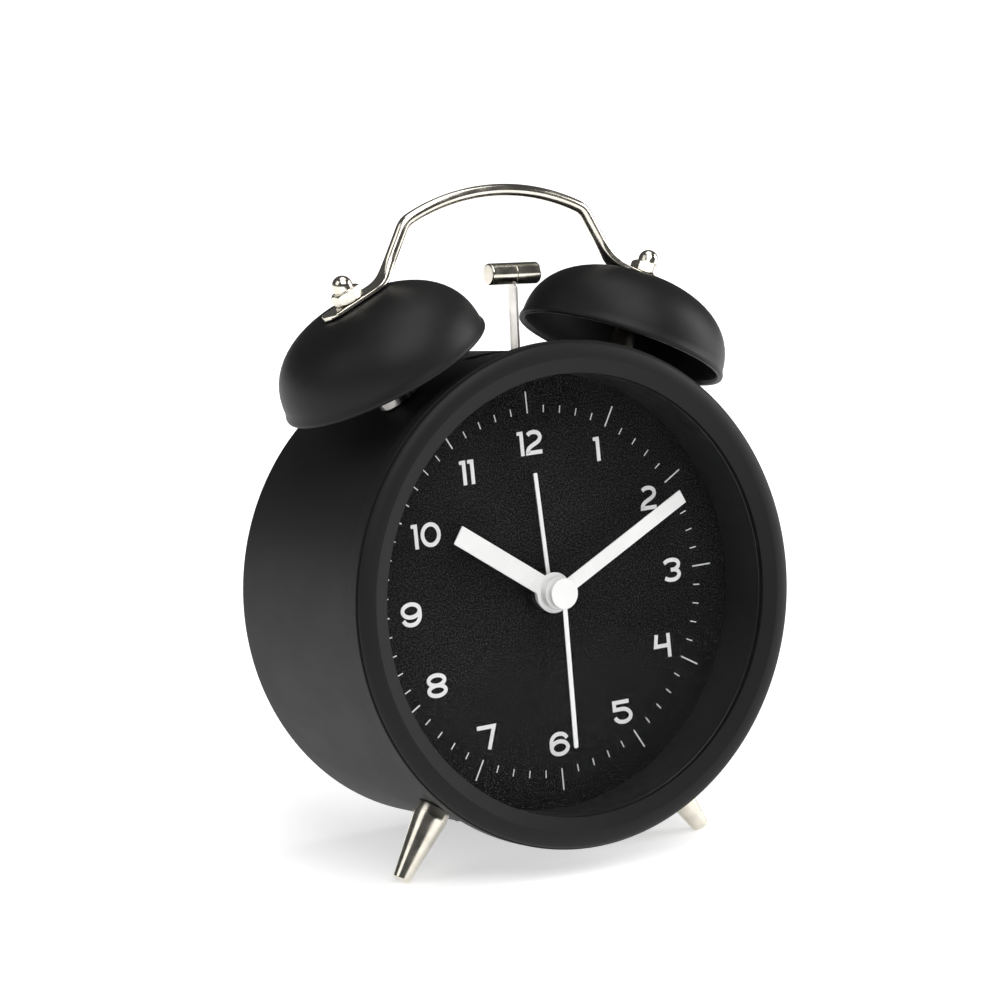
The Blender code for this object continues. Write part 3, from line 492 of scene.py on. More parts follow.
def lens_and_wall():
    mesh = lathe("lens", rod_profile(43.46, -12.0, -10.6, 0.15), 160)
    piece("lens", mesh, LENS, "case", depthwise(), ["glass_lens"])
    corners = [(46.6, -0.3), (46.6, -12.2), (43.54, -12.2, 0.12), (43.54, -0.3, 0.15)]
    mesh = lathe("inner_wall", filleted(corners), 192, closed=True)
    made = piece("inner_wall", mesh, WALL_PAINT, "case", depthwise(), ["spacer_ring"])
    lamp_at = frame_at((0, -5, 0))
    boolean(made, "DIFFERENCE", (lathe("lamp_hole", rod_profile(1.8, 42, 50), 24), lamp_at))
    bulb = [(0, 46.6), (1.5, 46.6, 0.1), (1.5, 45.4), (1.25, 45.2), (1.25, 44.4, 1.0), (0, 43.9)]
    mesh = lathe("lamp", filleted(bulb, closed=False), 32)
    piece("lamp", mesh, LAMP, "case", lamp_at, ["dial_lamp"])


# ---------------------------------------------------------------- dial


def smooth(points, steps=7):
    """A curve through the points."""
    out = []
    ends = [points[0], *points, points[-1]]
    for a, b, c, d in zip(ends, ends[1:], ends[2:], ends[3:]):
        for k in range(steps):
            t = k / steps
            out.append(tuple(
                0.5 * (2 * q + (r - p) * t + (2 * p - 5 * q + 4 * r - s) * t * t
                       + (3 * q - p - 3 * r + s) * t**3)
                for p, q, r, s in zip(a, b, c, d)
            ))
    return out + [points[-1]]


def oval(x, y, rx, ry, count=40):
    turns = [2 * math.pi * i / count for i in range(count)]
    return [(x + rx * math.cos(t), y + ry * math.sin(t)) for t in turns]


STROKE = 0.82
TOP = 4.06  # height of the strokes' centre lines
END = 0.41  # an upright's ends stand this far outside the centre lines

# Width, then strokes as a closed flag and a centre line, from the figure's lower left corner
FIGURES = {
    "0": (3.72, [(True, oval(1.86, TOP / 2, 1.86, TOP / 2))]),
    "1": (0.55, [(False, [(0.55, TOP + END), (0.55, -END)]), ("flag", None)]),
    "2": (3.12, [
        (False, smooth([
            (0.26, 3.58), (0.84, 3.95), (1.63, TOP), (2.44, 3.9), (2.98, 3.45), (3.12, 2.88),
            (2.88, 2.35), (2.28, 1.92), (1.4, 1.52), (0.58, 1.08), (0.11, 0.55), (0, 0),
        ]) + [(3.4, 0)]),
    ]),
    "3": (3.4, [
        (False, smooth([
            (-0.08, 3.52), (0.7, 3.93), (1.65, TOP), (2.6, 3.93), (3.25, 3.52),
            (3.4, 3.05), (3.2, 2.55), (2.7, 2.17), (2.1, 2.04), (1.45, 2.03),
        ])),
        (False, smooth([
            (1.9, 2.03), (2.5, 1.97), (3.05, 1.68), (3.36, 1.2), (3.3, 0.72),
            (2.9, 0.3), (2.25, 0.05), (1.65, 0), (0.7, 0.12), (-0.08, 0.5),
        ])),
    ]),
    "4": (3.35, [
        (False, [(0.46, TOP + END), (0.04, 2.06), (3.3, 2.06)]),
        (False, [(3.3, TOP + END), (3.3, -END)]),
    ]),
    "5": (3.78, [
        (False, [(3.55, TOP), (0, TOP), (0, 2.62), (1.2, 2.62)] + smooth([
            (1.6, 2.62), (2.5, 2.53), (3.3, 2.1), (3.75, 1.45), (3.72, 0.85), (3.25, 0.32),
            (2.5, 0.03), (1.8, 0.0), (1.0, 0.16), (0.35, 0.55), (0.03, 1.05),
        ])),
    ]),
    "6": (3.84, [
        (False, smooth([
            (3.82, 3.02), (3.35, 3.64), (2.65, 3.98), (1.95, TOP), (1.2, 3.94),
            (0.52, 3.5), (0.12, 2.86), (0, 2.1), (0.02, 1.3),
        ])),
        (True, oval(1.93, 1.27, 1.91, 1.27)),
    ]),
    "7": (3.6, [(False, [(-END, TOP), (3.52, TOP), (2.0, -END)])]),
    "8": (3.8, [(True, oval(1.9, 3.05, 1.8, 1.01)), (True, oval(1.9, 1.02, 1.9, 1.02))]),
}
# the 9 is the 6 turned half round
SIX_WIDE, SIX_STROKES = FIGURES["6"]
FIGURES["9"] = (SIX_WIDE, [(ring, [(SIX_WIDE - x, TOP - y) for x, y in line]) for ring, line in SIX_STROKES])


def ribbon(name, line, width, closed, low, high):
    """A band of this width along a line in the dial's plane, as a thin closed solid."""
    points = [Vector(p) for p in line]
    kept = [points[0]]
    for point in points[1:]:
        if (point - kept[-1]).length > 1e-4:
            kept.append(point)
    count = len(kept)
    sides = []
    for i, here in enumerate(kept):
        before = kept[i - 1] if closed or i else here
        after = kept[(i + 1) % count] if closed or i < count - 1 else here
        a = (here - before).normalized() if (here - before).length else (after - here).normalized()
        b = (after - here).normalized() if (after - here).length else a
        mitre = (a + b).normalized()
        across = Vector((-mitre.y, mitre.x))
        reach = width / 2 / max(0.35, mitre.dot(a))
        sides.append((here + across * reach, here - across * reach))
    graph = bmesh.new()
    layers = []
    for depth in (low, high):
        layers.append([[graph.verts.new((p.x * MM, depth * MM, p.y * MM)) for p in pair] for pair in sides])
    spans = range(count if closed else count - 1)
    for i in spans:
        j = (i + 1) % count
        (al, ar), (bl, br) = layers[0][i], layers[0][j]
        (cl, cr), (dl, dr) = layers[1][i], layers[1][j]
        for face in ((al, ar, br, bl), (cl, dl, dr, cr), (al, bl, dl, cl), (ar, cr, dr, br)):
            graph.faces.new(face)
    if not closed:
        for i in (0, count - 1):
            (al, ar), (cl, cr) = layers[0][i], layers[1][i]
            graph.faces.new((al, ar, cr, cl))
    return to_mesh(graph, name)


def figure(label, place, digit):
    """One figure as a joined print, its origin at the lower left of its centre lines."""
    made = None
    for number, (closed, line) in enumerate(FIGURES[digit][1]):
        rise = -0.055 + 0.004 * number
        if closed == "flag":
            outline = [(-0.4, 3.72), (0.5, 3.72), (0.5, TOP + 0.405), (-0.34, TOP + 0.405), (-0.5, 4.16)]
            mesh = plate(label, outline, rise, 0.02)
        else:
            mesh = ribbon(label, line, STROKE, closed, rise, 0.02)
        if made is None:
            made = piece(label, mesh, INK, "case", place, ())
        else:
            boolean(made, "UNION", (mesh, place))


def numerals():
    # where the second figure of each pair starts, from the start of the first
    second = {"10": 1.99, "11": 1.86, "12": 1.75}
    # the print isn't evenly spaced: these stand a little off their hour's line, right and up
    stray = {
        2: (-0.08, -0.08), 3: (-0.12, 0), 4: (-0.05, 0.3), 5: (0.2, -0.15), 7: (-1.05, 0), 8: (0, 0.75),
        10: (0.1, 0), 11: (-0.2, 0.05), 12: (-0.12, 0.05),
    }
    for hour in range(1, 13):
        text = str(hour)
        turn = math.radians(30 * hour)
        radius = 30.8 if hour < 10 else 29.85
        middle = Vector((radius * math.sin(turn), radius * math.cos(turn))) + Vector(stray.get(hour, (0, 0)))
        starts = [0.0, second[text]] if text in second else [0.0]
        low = -0.1 if text[0] == "1" else 0.0  # the flag of the 1 hangs out to the left
        high = starts[-1] + FIGURES[text[-1]][0]
        for number, (start, digit) in enumerate(zip(starts, text)):
            corner = middle + Vector((start - (low + high) / 2, -TOP / 2))
            at = PRINT @ Matrix.Translation((corner.x * MM, 0, corner.y * MM))
            figure(f"figure_{text}_{digit}_{number}", at, digit)


def ticks():
    """Sixty printed marks, long at the hours, as one print."""
    graph = bmesh.new()
    for minute in range(60):
        long = minute % 5 == 0
        inner, outer, wide = (35.75, 40.1, 0.27) if long else (35.75, 37.2, 0.2)
        turn = Matrix.Rotation(math.radians(6 * minute), 4, "Y")
        grown = bmesh.ops.create_cube(graph, size=1.0)["verts"]
        size = Matrix.Diagonal((wide * MM, 0.07 * MM, (outer - inner) * MM, 1))
        middle = Matrix.Translation((0, -0.018 * MM, (inner + outer) / 2 * MM))
        bmesh.ops.transform(graph, matrix=turn @ middle @ size, verts=grown)
    made = to_mesh(graph, "ticks")
    piece("minute_marks", made, INK, "case", PRINT, ())


def dial():
    mesh = lathe("dial", filleted([(46.6, 0.5), (46.6, 0.0), (4.3, 0.0, 0.1), (4.3, 0.5)]), 128, closed=True)
    piece("dial_face", mesh, DIAL_BLACK, "case", depthwise(), ["dial_plate"])
    ticks()
    numerals()


# ---------------------------------------------------------------- bells and handle


def bell_shell(side):
    """A full dome, pressed flat under the handle's tab, with a rolled lip at its mouth."""
    radius, shoulder, dome, crown, wall, fullness = BELL_R, 0.9, 15.8, BELL_CROWN, 1.0, 0.87
    turns = [math.radians(a) for a in (66, 62, 58, 53, 48, 43, 38, 33, 28, 23, 18, 13, 8, 4)]

    def shell(inset):
        reach, rise = radius - inset, dome - shoulder - inset
        return [(reach * math.cos(a) ** fullness, shoulder + rise * math.sin(a) ** fullness) for a in turns]

    outer = [(1.8, crown), (7.3, crown), (8.3, crown - 0.06), *shell(0)]
    lip = filleted(
        [outer[-1], (radius, 1.7), (radius + 0.36, 0.75, 0.5), (radius + 0.3, 0.0, 0.4),
         (radius - 0.6, 0.0, 0.4), (radius - 0.9, 0.8, 0.4), (radius - wall, 1.7)],
        closed=False, step=15,
    )
    profile = [*outer[:-1], *lip, *reversed(shell(wall)), (7.3, crown - wall), (1.8, crown - wall)]
    mesh = lathe(f"bell_{side}", profile, 144, closed=True)
    piece(f"bell_shell_{side}", mesh, BELL_PAINT, "case", BELL[side], [f"bell_{side}"])


def drum_tool(clearance, sides=160):
    """Cuts away what would stand inside the drum."""
    return lathe("skin", rod_profile(DRUM_R + clearance, -30, 60), sides), depthwise()


def post(side):
    """The turned post under the bell, bored from below for the screw inside, and the bright washer saddled on
    the drum.
    """
    tip, seat, base = NUT_LOW + 1.5, BELL_CROWN - 1.3, -3.4
    corners = [(0, tip), (1.5, tip, 0.3), (1.5, seat), (2.4, seat, 0.3)]
    corners += [(2.4, base, 0.25), (1.5, base), (1.5, 5.0), (0, 5.0)]
    mesh = lathe(f"post_{side}", filleted(corners, closed=False), 48)
    piece(f"post_{side}", mesh, TURNED, "case", BELL[side], [f"bell_post_{side}"])
    # dished, so that only its rim and its inner edge catch the light
    rim = [(1.7, -4.1, 0.12), (2.1, -4.1, 0.2), (2.6, -4.75, 0.5), (3.7, -4.6, 0.5)]
    rim += [(4.1, -4.15, 0.12), (4.45, -4.3, 0.15), (4.45, -8.0), (1.7, -8.0)]
    mesh = lathe(f"washer_{side}", filleted(rim), 64, closed=True)
    # its darkened nickel is painted shade from the bell above
    made = piece(f"washer_{side}", mesh, NICKEL_DARKENED_AS_SHADE, "case", BELL[side], [f"post_washer_{side}"])
    boolean(made, "DIFFERENCE", drum_tool(0.25, 128))


def cap_nut(side):
    """Chamfered hexagon with a domed cap."""
    low, corner_r, flat = NUT_LOW, 3.18, 2.15
    waist = low + flat
    graph = bmesh.new()
    bmesh.ops.create_circle(graph, cap_ends=True, segments=6, radius=corner_r * MM)
    for vert in graph.verts:
        vert.co.z = low * MM
    grown = bmesh.ops.extrude_face_region(graph, geom=graph.faces[:])
    moved = [part for part in grown["geom"] if isinstance(part, bmesh.types.BMVert)]
    bmesh.ops.translate(graph, verts=moved, vec=(0, 0, flat * MM))
    uprights = [e for e in graph.edges if abs(e.verts[0].co.z - e.verts[1].co.z) > 1e-6]
    bmesh.ops.bevel(graph, geom=uprights, offset=0.12 * MM, segments=2, affect="EDGES", profile=0.5)
    hexagon = to_mesh(graph, f"nut_{side}")
    made = piece(f"nut_{side}", hexagon, PLATE, "case", BELL[side], [f"cap_nut_{side}"])
    shape = [(0, waist), (2.7, waist, 0.05), (3.3, waist - 0.45)]
    shape += [(3.3, low + 0.35), (2.8, low, 0.05), (0, low)]
    boolean(made, "INTERSECT", (lathe("chamfer", filleted(shape, closed=False), 72), BELL[side]))
    radius, centre = 2.05, low + 3.1
    turns = [math.radians(a) for a in range(83, -1, -7)]
    dome = [(radius * math.cos(t), centre + radius * math.sin(t)) for t in turns]
    cap = [(0, centre + radius), *dome, (radius, waist - 0.4), (0, waist - 0.4)]
    neck = [(0, waist + 0.18), (2.35, waist + 0.18, 0.12), (2.35, waist - 0.3), (0, waist - 0.3)]
    boolean(made, "UNION", (lathe("neck", filleted(neck, closed=False), 64), BELL[side]))
    boolean(made, "UNION", (lathe("dome", cap, 64), BELL[side]))
    boolean(made, "DIFFERENCE", (lathe("bore", rod_profile(1.7, low - 1, low + 1.8, 0.3), 32), BELL[side]))


def handle_line():
    """Centre line of the bent rod, with the share of the way from round rod to flat tab at each point."""
    arch_r, arch_top = 46.0, 80.2
    mid_h = TAB_LOW + TAB_T / 2
    tab = [
        (BELL_X + r * math.cos(BELL_TILT) + mid_h * math.sin(BELL_TILT),
         BELL_Z - r * math.sin(BELL_TILT) + mid_h * math.cos(BELL_TILT)) for r in (-9.0, 6.8)
    ]
    # the leg, straight from arch to tab, passes through (on_x, on_z) and drops by fall for each 1 outward
    leg_x, on_x, on_z, fall = 20.9, 21.9, 73.3, 1.878
    leg_top = (leg_x, on_z - fall * (leg_x - on_x))
    slope = (tab[1][1] - tab[0][1]) / (tab[1][0] - tab[0][0])
    foot_x = (on_z + fall * on_x - tab[0][1] + slope * tab[0][0]) / (fall + slope)
    leg_end = (foot_x, on_z - fall * (foot_x - on_x))
    arch = arc((0, arch_top - arch_r), arch_r, 90, 90 - 23.6, 22)
    bends = filleted([arch[-1], (*leg_top, 5.0), (*leg_end, 5.5), tab[1]], closed=False, step=4)
    return resampled(arch + bends[1:], 0.55)


def resampled(line, step):
    """The same line in even steps."""
    points = [Vector(p) for p in line]
    lengths = [0.0]
    for a, b in zip(points, points[1:]):
        lengths.append(lengths[-1] + (b - a).length)
    total = lengths[-1]
    count = round(total / step)
    out, k = [], 0
    for i in range(count + 1):
        want = total * i / count
        while k < len(lengths) - 2 and lengths[k + 1] < want:
            k += 1
        span = lengths[k + 1] - lengths[k]
        t = (want - lengths[k]) / span if span else 0
        out.append(points[k].lerp(points[k + 1], min(max(t, 0), 1)))
    return out


def handle():
    """One rod, bent to an arch, hammered flat and rounded at both ends."""
    rod_r, tab_half, tab_length, bend_length, around = 1.225, 2.72, 20.0, 8.5, 28
    half = handle_line()
    left = [Vector((-p.x, p.y)) for p in reversed(half[1:])]
    line = left + half
    total = len(line)
    step = (half[1] - half[0]).length
    rings = []
    graph = bmesh.new()
    for i, here in enumerate(line):
        before, after = line[max(i - 1, 0)], line[min(i + 1, total - 1)]
        along = (after - before).normalized()
        normal = Vector((-along.y, along.x))
        from_end = min(i, total - 1 - i) * step
        flat = min(max((tab_length - from_end) / bend_length, 0), 1)
        flat = flat * flat * (3 - 2 * flat)
        wide = rod_r + (tab_half - rod_r) * flat
        thick = rod_r + (TAB_T / 2 - rod_r) * flat
        if from_end < tab_half:
            wide *= math.sqrt(max(1 - (1 - from_end / tab_half) ** 2, 0.004))
        power = 2 / (2 + 3.2 * flat)
        ring = []
        for k in range(around):
            turn = 2 * math.pi * (k + 0.5) / around
            c, s = math.cos(turn), math.sin(turn)
            side = wide * math.copysign(abs(c) ** power, c)
            up = thick * math.copysign(abs(s) ** power, s)
            x, z = here + normal * up
            ring.append(graph.verts.new((x * MM, (BELL_Y + side) * MM, z * MM)))
        rings.append(ring)
    for a, b in zip(rings, rings[1:]):
        for k in range(around):
            j = (k + 1) % around
            graph.faces.new((a[k], a[j], b[j], b[k]))
    graph.faces.new(rings[0])
    graph.faces.new(list(reversed(rings[-1])))
    mesh = to_mesh(graph, "handle")
    made = piece("carrying_handle", mesh, HANDLE_PLATE, "case", CASE, ["handle"])
    for side, _ in SIDES:
        boolean(made, "DIFFERENCE", (lathe("tab_hole", rod_profile(1.72, 13, 20), 32), BELL[side]))


# ---------------------------------------------------------------- hammer and feet


def hammer():
    """A turned head with a fine seam round its middle, held in a fork of the sheet arm."""
    length, radius, reach = 11.4, 2.2, 39.4
    half = length / 2
    seam = [(radius, 0.16), (radius - 0.14, 0.05), (radius - 0.14, -0.05), (radius, -0.16)]
    right = filleted([(0, half), (radius, half, 0.38), seam[0]], closed=False)
    left = filleted([seam[-1], (radius, -half, 0.38), (0, -half)], closed=False)
    mesh = lathe("head", right + seam[1:-1] + left, 72)
    sideways = HAMMER @ Matrix.Translation((0, 0, reach * MM)) @ Matrix.Rotation(math.pi / 2, 4, "Y")
    made = piece("hammer_head_turned", mesh, TURNED, "hammer", sideways, ["hammer_head"])
    slit = block("slit", (-0.5, 0.5), (-1.2, 1.2), (reach - 4, reach + 0.9))
    boolean(made, "DIFFERENCE", (slit, HAMMER))
    shoulder = reach - radius - 0.25
    outline = [(-1.5, 3.4, 0.1), (1.5, 3.4, 0.1), (1.5, shoulder, 0.3), (0.95, shoulder)]
    outline += [(0.95, reach + 0.6, 0.2), (-0.95, reach + 0.6, 0.2), (-0.95, shoulder), (-1.5, shoulder, 0.3)]
    mesh = plate("arm", filleted(outline), -0.25, 0.25, 0.08)
    edgewise = HAMMER @ Matrix.Rotation(math.pi / 2, 4, "Z")
    # lightened nickel: a painted highlight on the strip
    piece("hammer_strip", mesh, STRIP_PLATE_PAINTED_BRIGHT, "hammer", edgewise, ["hammer_arm"])


def foot(side):
    """Turned taper with a small shoulder at the case and a rounded toe."""
    base, tip = DRUM_R, 63.9
    skin = [(0, tip), (1.72, tip, 0.42), (3.52, base + 2.2, 4.0), (3.3, base - 0.6), (3.3, base - 1.5)]
    core = [(1.5, base - 1.5), (1.5, base + 7), (0, base + 7)]
    mesh = lathe(f"foot_{side}", filleted(skin + core, closed=False), 96)
    made = piece(f"foot_turned_{side}", mesh, TURNED, "case", FOOT[side], [f"foot_{side}"])
    boolean(made, "DIFFERENCE", drum_tool(0.22))


def rear_pad():
    """A rubber block between the drum and the floor."""
    mesh = block("pad", (-4.2, 4.2), (34.4, 37.4), (-50.6, -44))
    made = piece("rear_pad_rubber", mesh, RUBBER, "case", CASE, ["rear_pad"])
    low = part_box("rear_pad")[0].z / MM
    ground = block("ground", (-30, 30), (-60, 60), (low - 20, low))
    boolean(made, "DIFFERENCE", drum_tool(0.3), (ground, Matrix.Identity(4)))


# ---------------------------------------------------------------- hands


def hand(name, body, turn, node, outline, plate_y, hub, hub_y, bore, edge=0.07):
    """A stamped blade joined to its hub."""
    place = frame_at((0, 0, 0), turn)
    made = piece(name, plate(name, outline, *plate_y, edge), WHITE, body, place, [node])
    ring = [(bore, hub_y[1]), (hub, hub_y[1], 0.08), (hub, hub_y[0], 0.14), (bore, hub_y[0])]
    facing = place @ Matrix.Rotation(-math.pi / 2, 4, "X")
    boolean(made, "UNION", (lathe(f"{name}_hub", filleted(ring), 72, closed=True), facing))


def bar(half, start, end, corner):
    """A straight blade's outline, with rounded corners at its tip."""
    return filleted([(-half, start), (half, start), (half, end, corner), (-half, end, corner)])


def hands():
    hour, minute = math.radians(-56.7), math.radians(62.4)
    second, alarm = math.radians(179.4), math.radians(-3.8)
    hand("hour_hand_blade", "hour", hour, "hour_hand", bar(2.0, 2.5, 25.2, 0.12),
         (-3.76, -3.46), 4.05, (-3.8, -3.45), 2.1)
    hand("minute_hand_blade", "minute", minute, "minute_hand", bar(1.45, 1.8, 34.8, 0.12),
         (-5.68, -5.38), 3.3, (-5.7, -4.15), 1.35)
    hand("alarm_hand_blade", "alarm_indicator", alarm, "alarm_hand", bar(0.43, 3.2, 24.0, 0.15),
         (-2.38, -2.08), 3.6, (-2.4, -2.05), 2.9, 0.05)
    place = frame_at((0, 0, 0), second)
    mesh = plate("second", bar(0.5, 0.9, 30.9, 0.42), -7.26, -7.02, 0.05)
    made = piece("second_hand_blade", mesh, WHITE, "second", place, ["second_hand"])
    cap = [(0, -7.25), (0.65, -7.25), (0.65, -6.3), (1.6, -6.3, 0.1)]
    cap += [(1.6, -6.9), (3.1, -6.9, 0.1), (3.1, -7.6, 0.2), (0, -7.6)]
    facing = place @ Matrix.Rotation(-math.pi / 2, 4, "X")
    boolean(made, "UNION", (lathe("second_cap", filleted(cap, closed=False), 80), facing))


# ---------------------------------------------------------------- back


def cross_screw(number, at):
    """A cover screw with a cross cut in its head."""
    top, low = 38.3, 28.0
    place = depthwise((at[0], 0, at[1]))
    head = [(0, top), (2.5, top, 0.35), (2.5, top - 1.2), (1.2, top - 1.2), (1.2, low), (0, low)]
    mesh = lathe(f"screw_{number}", filleted(head, closed=False), 40)
    made = piece(f"screw_{number}", mesh, STEEL, "case", place, [f"cover_screw_{number}"])
    for wide, tall in ((1.5, 0.32), (0.32, 1.5)):
        across, upright = (at[0] - wide, at[0] + wide), (at[1] - tall, at[1] + tall)
        boolean(made, "DIFFERENCE", (block("slot", across, (top - 1.15, top + 1), upright), CASE))


def turn_arrow(name, at, start, end):
    """A raised curved arrow beside a knob, showing which way it turns."""
    band = arc(at, 7.4, start, end, 16)
    mesh = ribbon(name, band, 0.7, False, 38.3, 38.62)
    made = piece(name, mesh, BLACK_PLASTIC, "case", CASE, ())
    tip, before = Vector(band[-1]), Vector(band[-2])
    along = (tip - before).normalized()
    across = Vector((-along.y, along.x))
    corners = (tip + across - along * 0.3, tip + along * 1.6, tip - across - along * 0.3)
    boolean(made, "UNION", (plate("tip", [tuple(corner) for corner in corners], 38.29, 38.63), CASE))


def stepped_hole(radius, floor):
    """A round well with a smaller hole through its floor."""
    return [(0, 45), (radius, 45), (radius, floor), (1.6, floor), (1.6, 30), (0, 30)]


def back():
    low, high = 35.9, 38.4
    face = [(0, high), (41.0, high, 0.1), (41.3, high - 0.45, 0.1), (41.9, high - 0.45, 0.1)]
    face += [(42.2, high, 0.1), (44.8, high, 0.4), (44.8, low), (0, low)]
    mesh = lathe("back", filleted(face, closed=False), 160)
    made = piece("back_panel", mesh, BLACK_PLASTIC, "case", depthwise(), ["back_cover"])
    tools = [(block("door_hole", (-27.9, 27.9), (30, 45), (-32.4, -16.1)), CASE)]
    for at in (TIME_AT, ALARM_AT):
        tools.append((lathe("well", stepped_hole(5.4, high - 0.5), 64), depthwise((at.x, 0, at.z))))
    for x, z in COVER_SCREWS_AT:
        tools.append((lathe("well", stepped_hole(3.0, high - 1.6), 48), depthwise((x, 0, z))))
    tools.append((block("switch_slot", (16.2, 23.8), (30, 45), (-5.5, -2.5), 0.3), CASE))
    tools.append((lathe("button_hole", rod_profile(3.5, 30, 45), 48), depthwise(BUTTON_AT)))
    boolean(made, "DIFFERENCE", *tools)
    for number, at in enumerate(COVER_SCREWS_AT, 1):
        cross_screw(number, at)
    turn_arrow("time_arrow", (TIME_AT.x, TIME_AT.z), 150, 40)
    turn_arrow("alarm_arrow", (ALARM_AT.x, ALARM_AT.z), 140, 30)
    door_panel()
    knobs()
    alarm_slider()
    light_button()


def door_panel():
    mesh = block("door", (-27.5, 27.5), (36.8, 38.4), (-32.0, -16.5), 0.25)
    made = piece("door_panel", mesh, BLACK_PLASTIC, "door", CASE, ["battery_door"])
    rows = [-20.6 + 0.75 * number for number in range(5)]
    tools = [(block("grip", (-5, 5), (38.05, 39), (z, z + 0.38), 0.1), CASE) for z in rows]
    tools.append((lathe("notch", rod_profile(3.2, 37.6, 40, 0.4), 48), depthwise((0, 0, -16.2))))
    boolean(made, "DIFFERENCE", *tools)


def knobs():
    top, low = 43.9, 38.9
    cap = filleted([(0, top - 0.35), (3.1, top - 0.35, 0.3), (3.5, top, 0.2), (4.2, top)], closed=False)
    # the points marked with a third value are fluted
    grip = [(4.5, top - 0.15), (4.6, top - 0.5, 1), (4.6, low + 0.4, 1), (4.5, low)]
    stem = [(0.9, low), (0.9, 5.6), (0, 5.6)]
    for name, body, at, pinion_r, span in (
        ("time_knob", "time_setter", TIME_AT, 1.9, (5.4, 6.4)),
        ("alarm_knob", "alarm_setter", ALARM_AT, 2.1, (2.6, 3.5)),
    ):
        place = depthwise((at.x, 0, at.z))
        mesh = lathe(name, cap + grip + stem, 144, flutes=24, flute_depth=0.32)
        made = piece(f"{name}_grip", mesh, KNOB_PLASTIC, body, place, [name])
        boolean(made, "UNION", (gear_pinion(pinion_r, span), place))


def gear_pinion(tip, span):
    """The setting pinion at the inner end of a knob's shaft."""
    graph = bmesh.new()
    bmesh.ops.create_circle(graph, cap_ends=True, segments=20, radius=tip * MM)
    for number, vert in enumerate(graph.verts):
        if number % 2:
            vert.co *= (tip - 0.45) / tip
        vert.co.z = span[0] * MM
    grown = bmesh.ops.extrude_face_region(graph, geom=graph.faces[:])
    moved = [part for part in grown["geom"] if isinstance(part, bmesh.types.BMVert)]
    bmesh.ops.translate(graph, verts=moved, vec=(0, 0, (span[1] - span[0]) * MM))
    return to_mesh(graph, "pinion")


def alarm_slider():
    mesh = block("slider", (15.0, 20.0), (38.7, 40.4), (-6.4, -1.6), 0.3)
    made = piece("alarm_slider", mesh, KNOB_PLASTIC, "switch", CASE, ["alarm_switch"])
    for x in (15.9, 16.8, 17.7, 18.6):
        boolean(made, "DIFFERENCE", (block("ridge", (x, x + 0.45), (39.95, 41), (-7, -1), 0.1), CASE))
    boolean(made, "UNION", (block("stem", (16.5, 18.5), (34.6, 39.0), (-5.1, -2.9)), CASE))
    boolean(made, "UNION", (block("shoe", (14.5, 20.5), (33.8, 35.5), (-6.4, -1.6)), CASE))


def light_button():
    """A dished cap with a collar behind the cover and a thin stem."""
    top, hollow_r = 40.6, 7.6
    dish = arc((0, top + 7.2), hollow_r, -90, -74, 6)
    cap = [(2.5, top), (2.8, top), (3.2, top - 0.4), (3.2, 35.4)]
    collar = [(4.4, 35.4), (4.4, 34.4), (1.4, 34.4), (1.4, 24), (0, 24)]
    mesh = lathe("button", dish + cap + collar, 64)
    place = depthwise(BUTTON_AT)
    piece("light_button_cap", mesh, KNOB_PLASTIC, "button", place, ["light_button"])


# ---------------------------------------------------------------- CAD pieces that stay as they are

CAD_FINISHES = {
    "post_screw_left": STEEL, "post_screw_right": STEEL, "foot_screw_left": STEEL, "foot_screw_right": STEEL,
    "hammer_pin": STEEL, "striker_motor": STEEL, "stator": STEEL,
    "contact_plate": STEEL, "contact_spring": STEEL,
    "cannon_wheel": BRASS, "motor_pinion": BRASS,
    "coil": COPPER, "circuit_board": BOARD, "battery_cell": CELL,
    "movement_base": BLACK_PLASTIC, "movement_cover": BLACK_PLASTIC, "battery_tray": BLACK_PLASTIC,
}


def finish_cad():
    """Materials for the nodes that no piece has replaced."""
    for name, node in frame["nodes"].items():
        if not node.hide_render:
            node.data.materials.clear()
            node.data.materials.append(CAD_FINISHES.get(name, NYLON))


# ---------------------------------------------------------------- studio


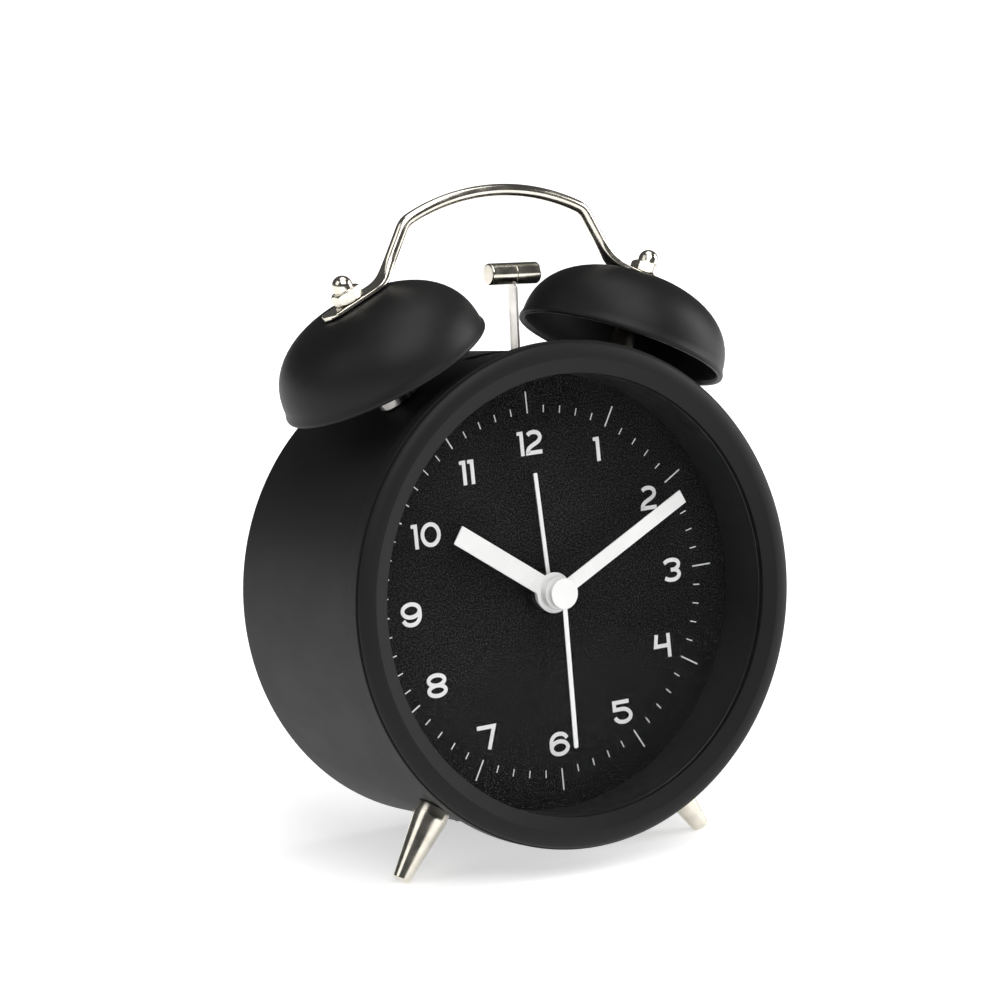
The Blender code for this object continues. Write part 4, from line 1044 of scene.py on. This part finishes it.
def studio():
    graph = bmesh.new()
    bmesh.ops.create_grid(graph, x_segments=1, y_segments=1, size=14)
    floor = bpy.data.objects.new("floor", to_mesh(graph, "floor"))
    bpy.context.scene.collection.objects.link(floor)
    paint = Finish("floor_white", (0.85, 0.85, 0.85), 0.9)
    paint.shader.inputs["Emission Color"].default_value = (1, 1, 1, 1)
    distance = paint.node("ShaderNodeVectorMath", operation="LENGTH")
    paint.link(paint.place, distance.inputs[0])
    glow = paint.spread(distance.outputs["Value"], 0.56, 0.92, 0.2, 1.0)
    paint.link(glow, paint.shader.inputs["Emission Strength"])
    paint.vary_roughness(paint.noise(30, 3), 0.85, 0.95)
    floor.data.materials.append(paint.material)
    world = bpy.data.worlds.new("studio")
    bpy.context.scene.world = world
    world.use_nodes = True
    sky = world.node_tree.nodes["Background"]
    sky.inputs["Color"].default_value = (1, 1, 1, 1)
    sky.inputs["Strength"].default_value = 0.08
    for name, place, size, power in (
        ("key_left", (-1.4, 0.1, 1.0), 1.0, 5.0),
        ("top", (0.2, 0.1, 1.6), 1.0, 8.0),
        ("front_high", (-0.2, -1.0, 1.5), 1.4, 24.0),
        ("right", (1.3, -0.35, 0.5), 0.9, 11.0),
    ):
        light = bpy.data.lights.new(name, "AREA")
        light.size = size
        light.energy = power
        lamp = bpy.data.objects.new(name, light)
        bpy.context.scene.collection.objects.link(lamp)
        lamp.location = place
        aim = Vector((0, 0, 0.07)) - Vector(place)
        lamp.rotation_euler = aim.to_track_quat("-Z", "Y").to_euler()
    bpy.context.scene.view_settings.view_transform = "Standard"


def camera():
    lens = bpy.data.cameras.new("camera")
    lens.lens = 131.9
    lens.sensor_width = 36
    lens.clip_end = 60
    made = bpy.data.objects.new("camera", lens)
    bpy.context.scene.collection.objects.link(made)
    right, up, rear = (0.8515, -0.5243, -0.0001), (0.1046, 0.1697, 0.9799), (-0.5137, -0.8345, 0.1993)
    rotation = Matrix((right, up, rear)).transposed().to_4x4()
    place = DIAL_CENTRE + Vector((-380.342, -600.852, 163.25)) * MM
    made.matrix_world = Matrix.Translation(place) @ rotation
    bpy.context.scene.camera = made


case_shell()
bezel()
lens_and_wall()
dial()
for side_name, _ in SIDES:
    bell_shell(side_name)
    post(side_name)
    cap_nut(side_name)
    foot(side_name)
handle()
hammer()
rear_pad()
hands()
back()
finish_cad()
studio()
camera()
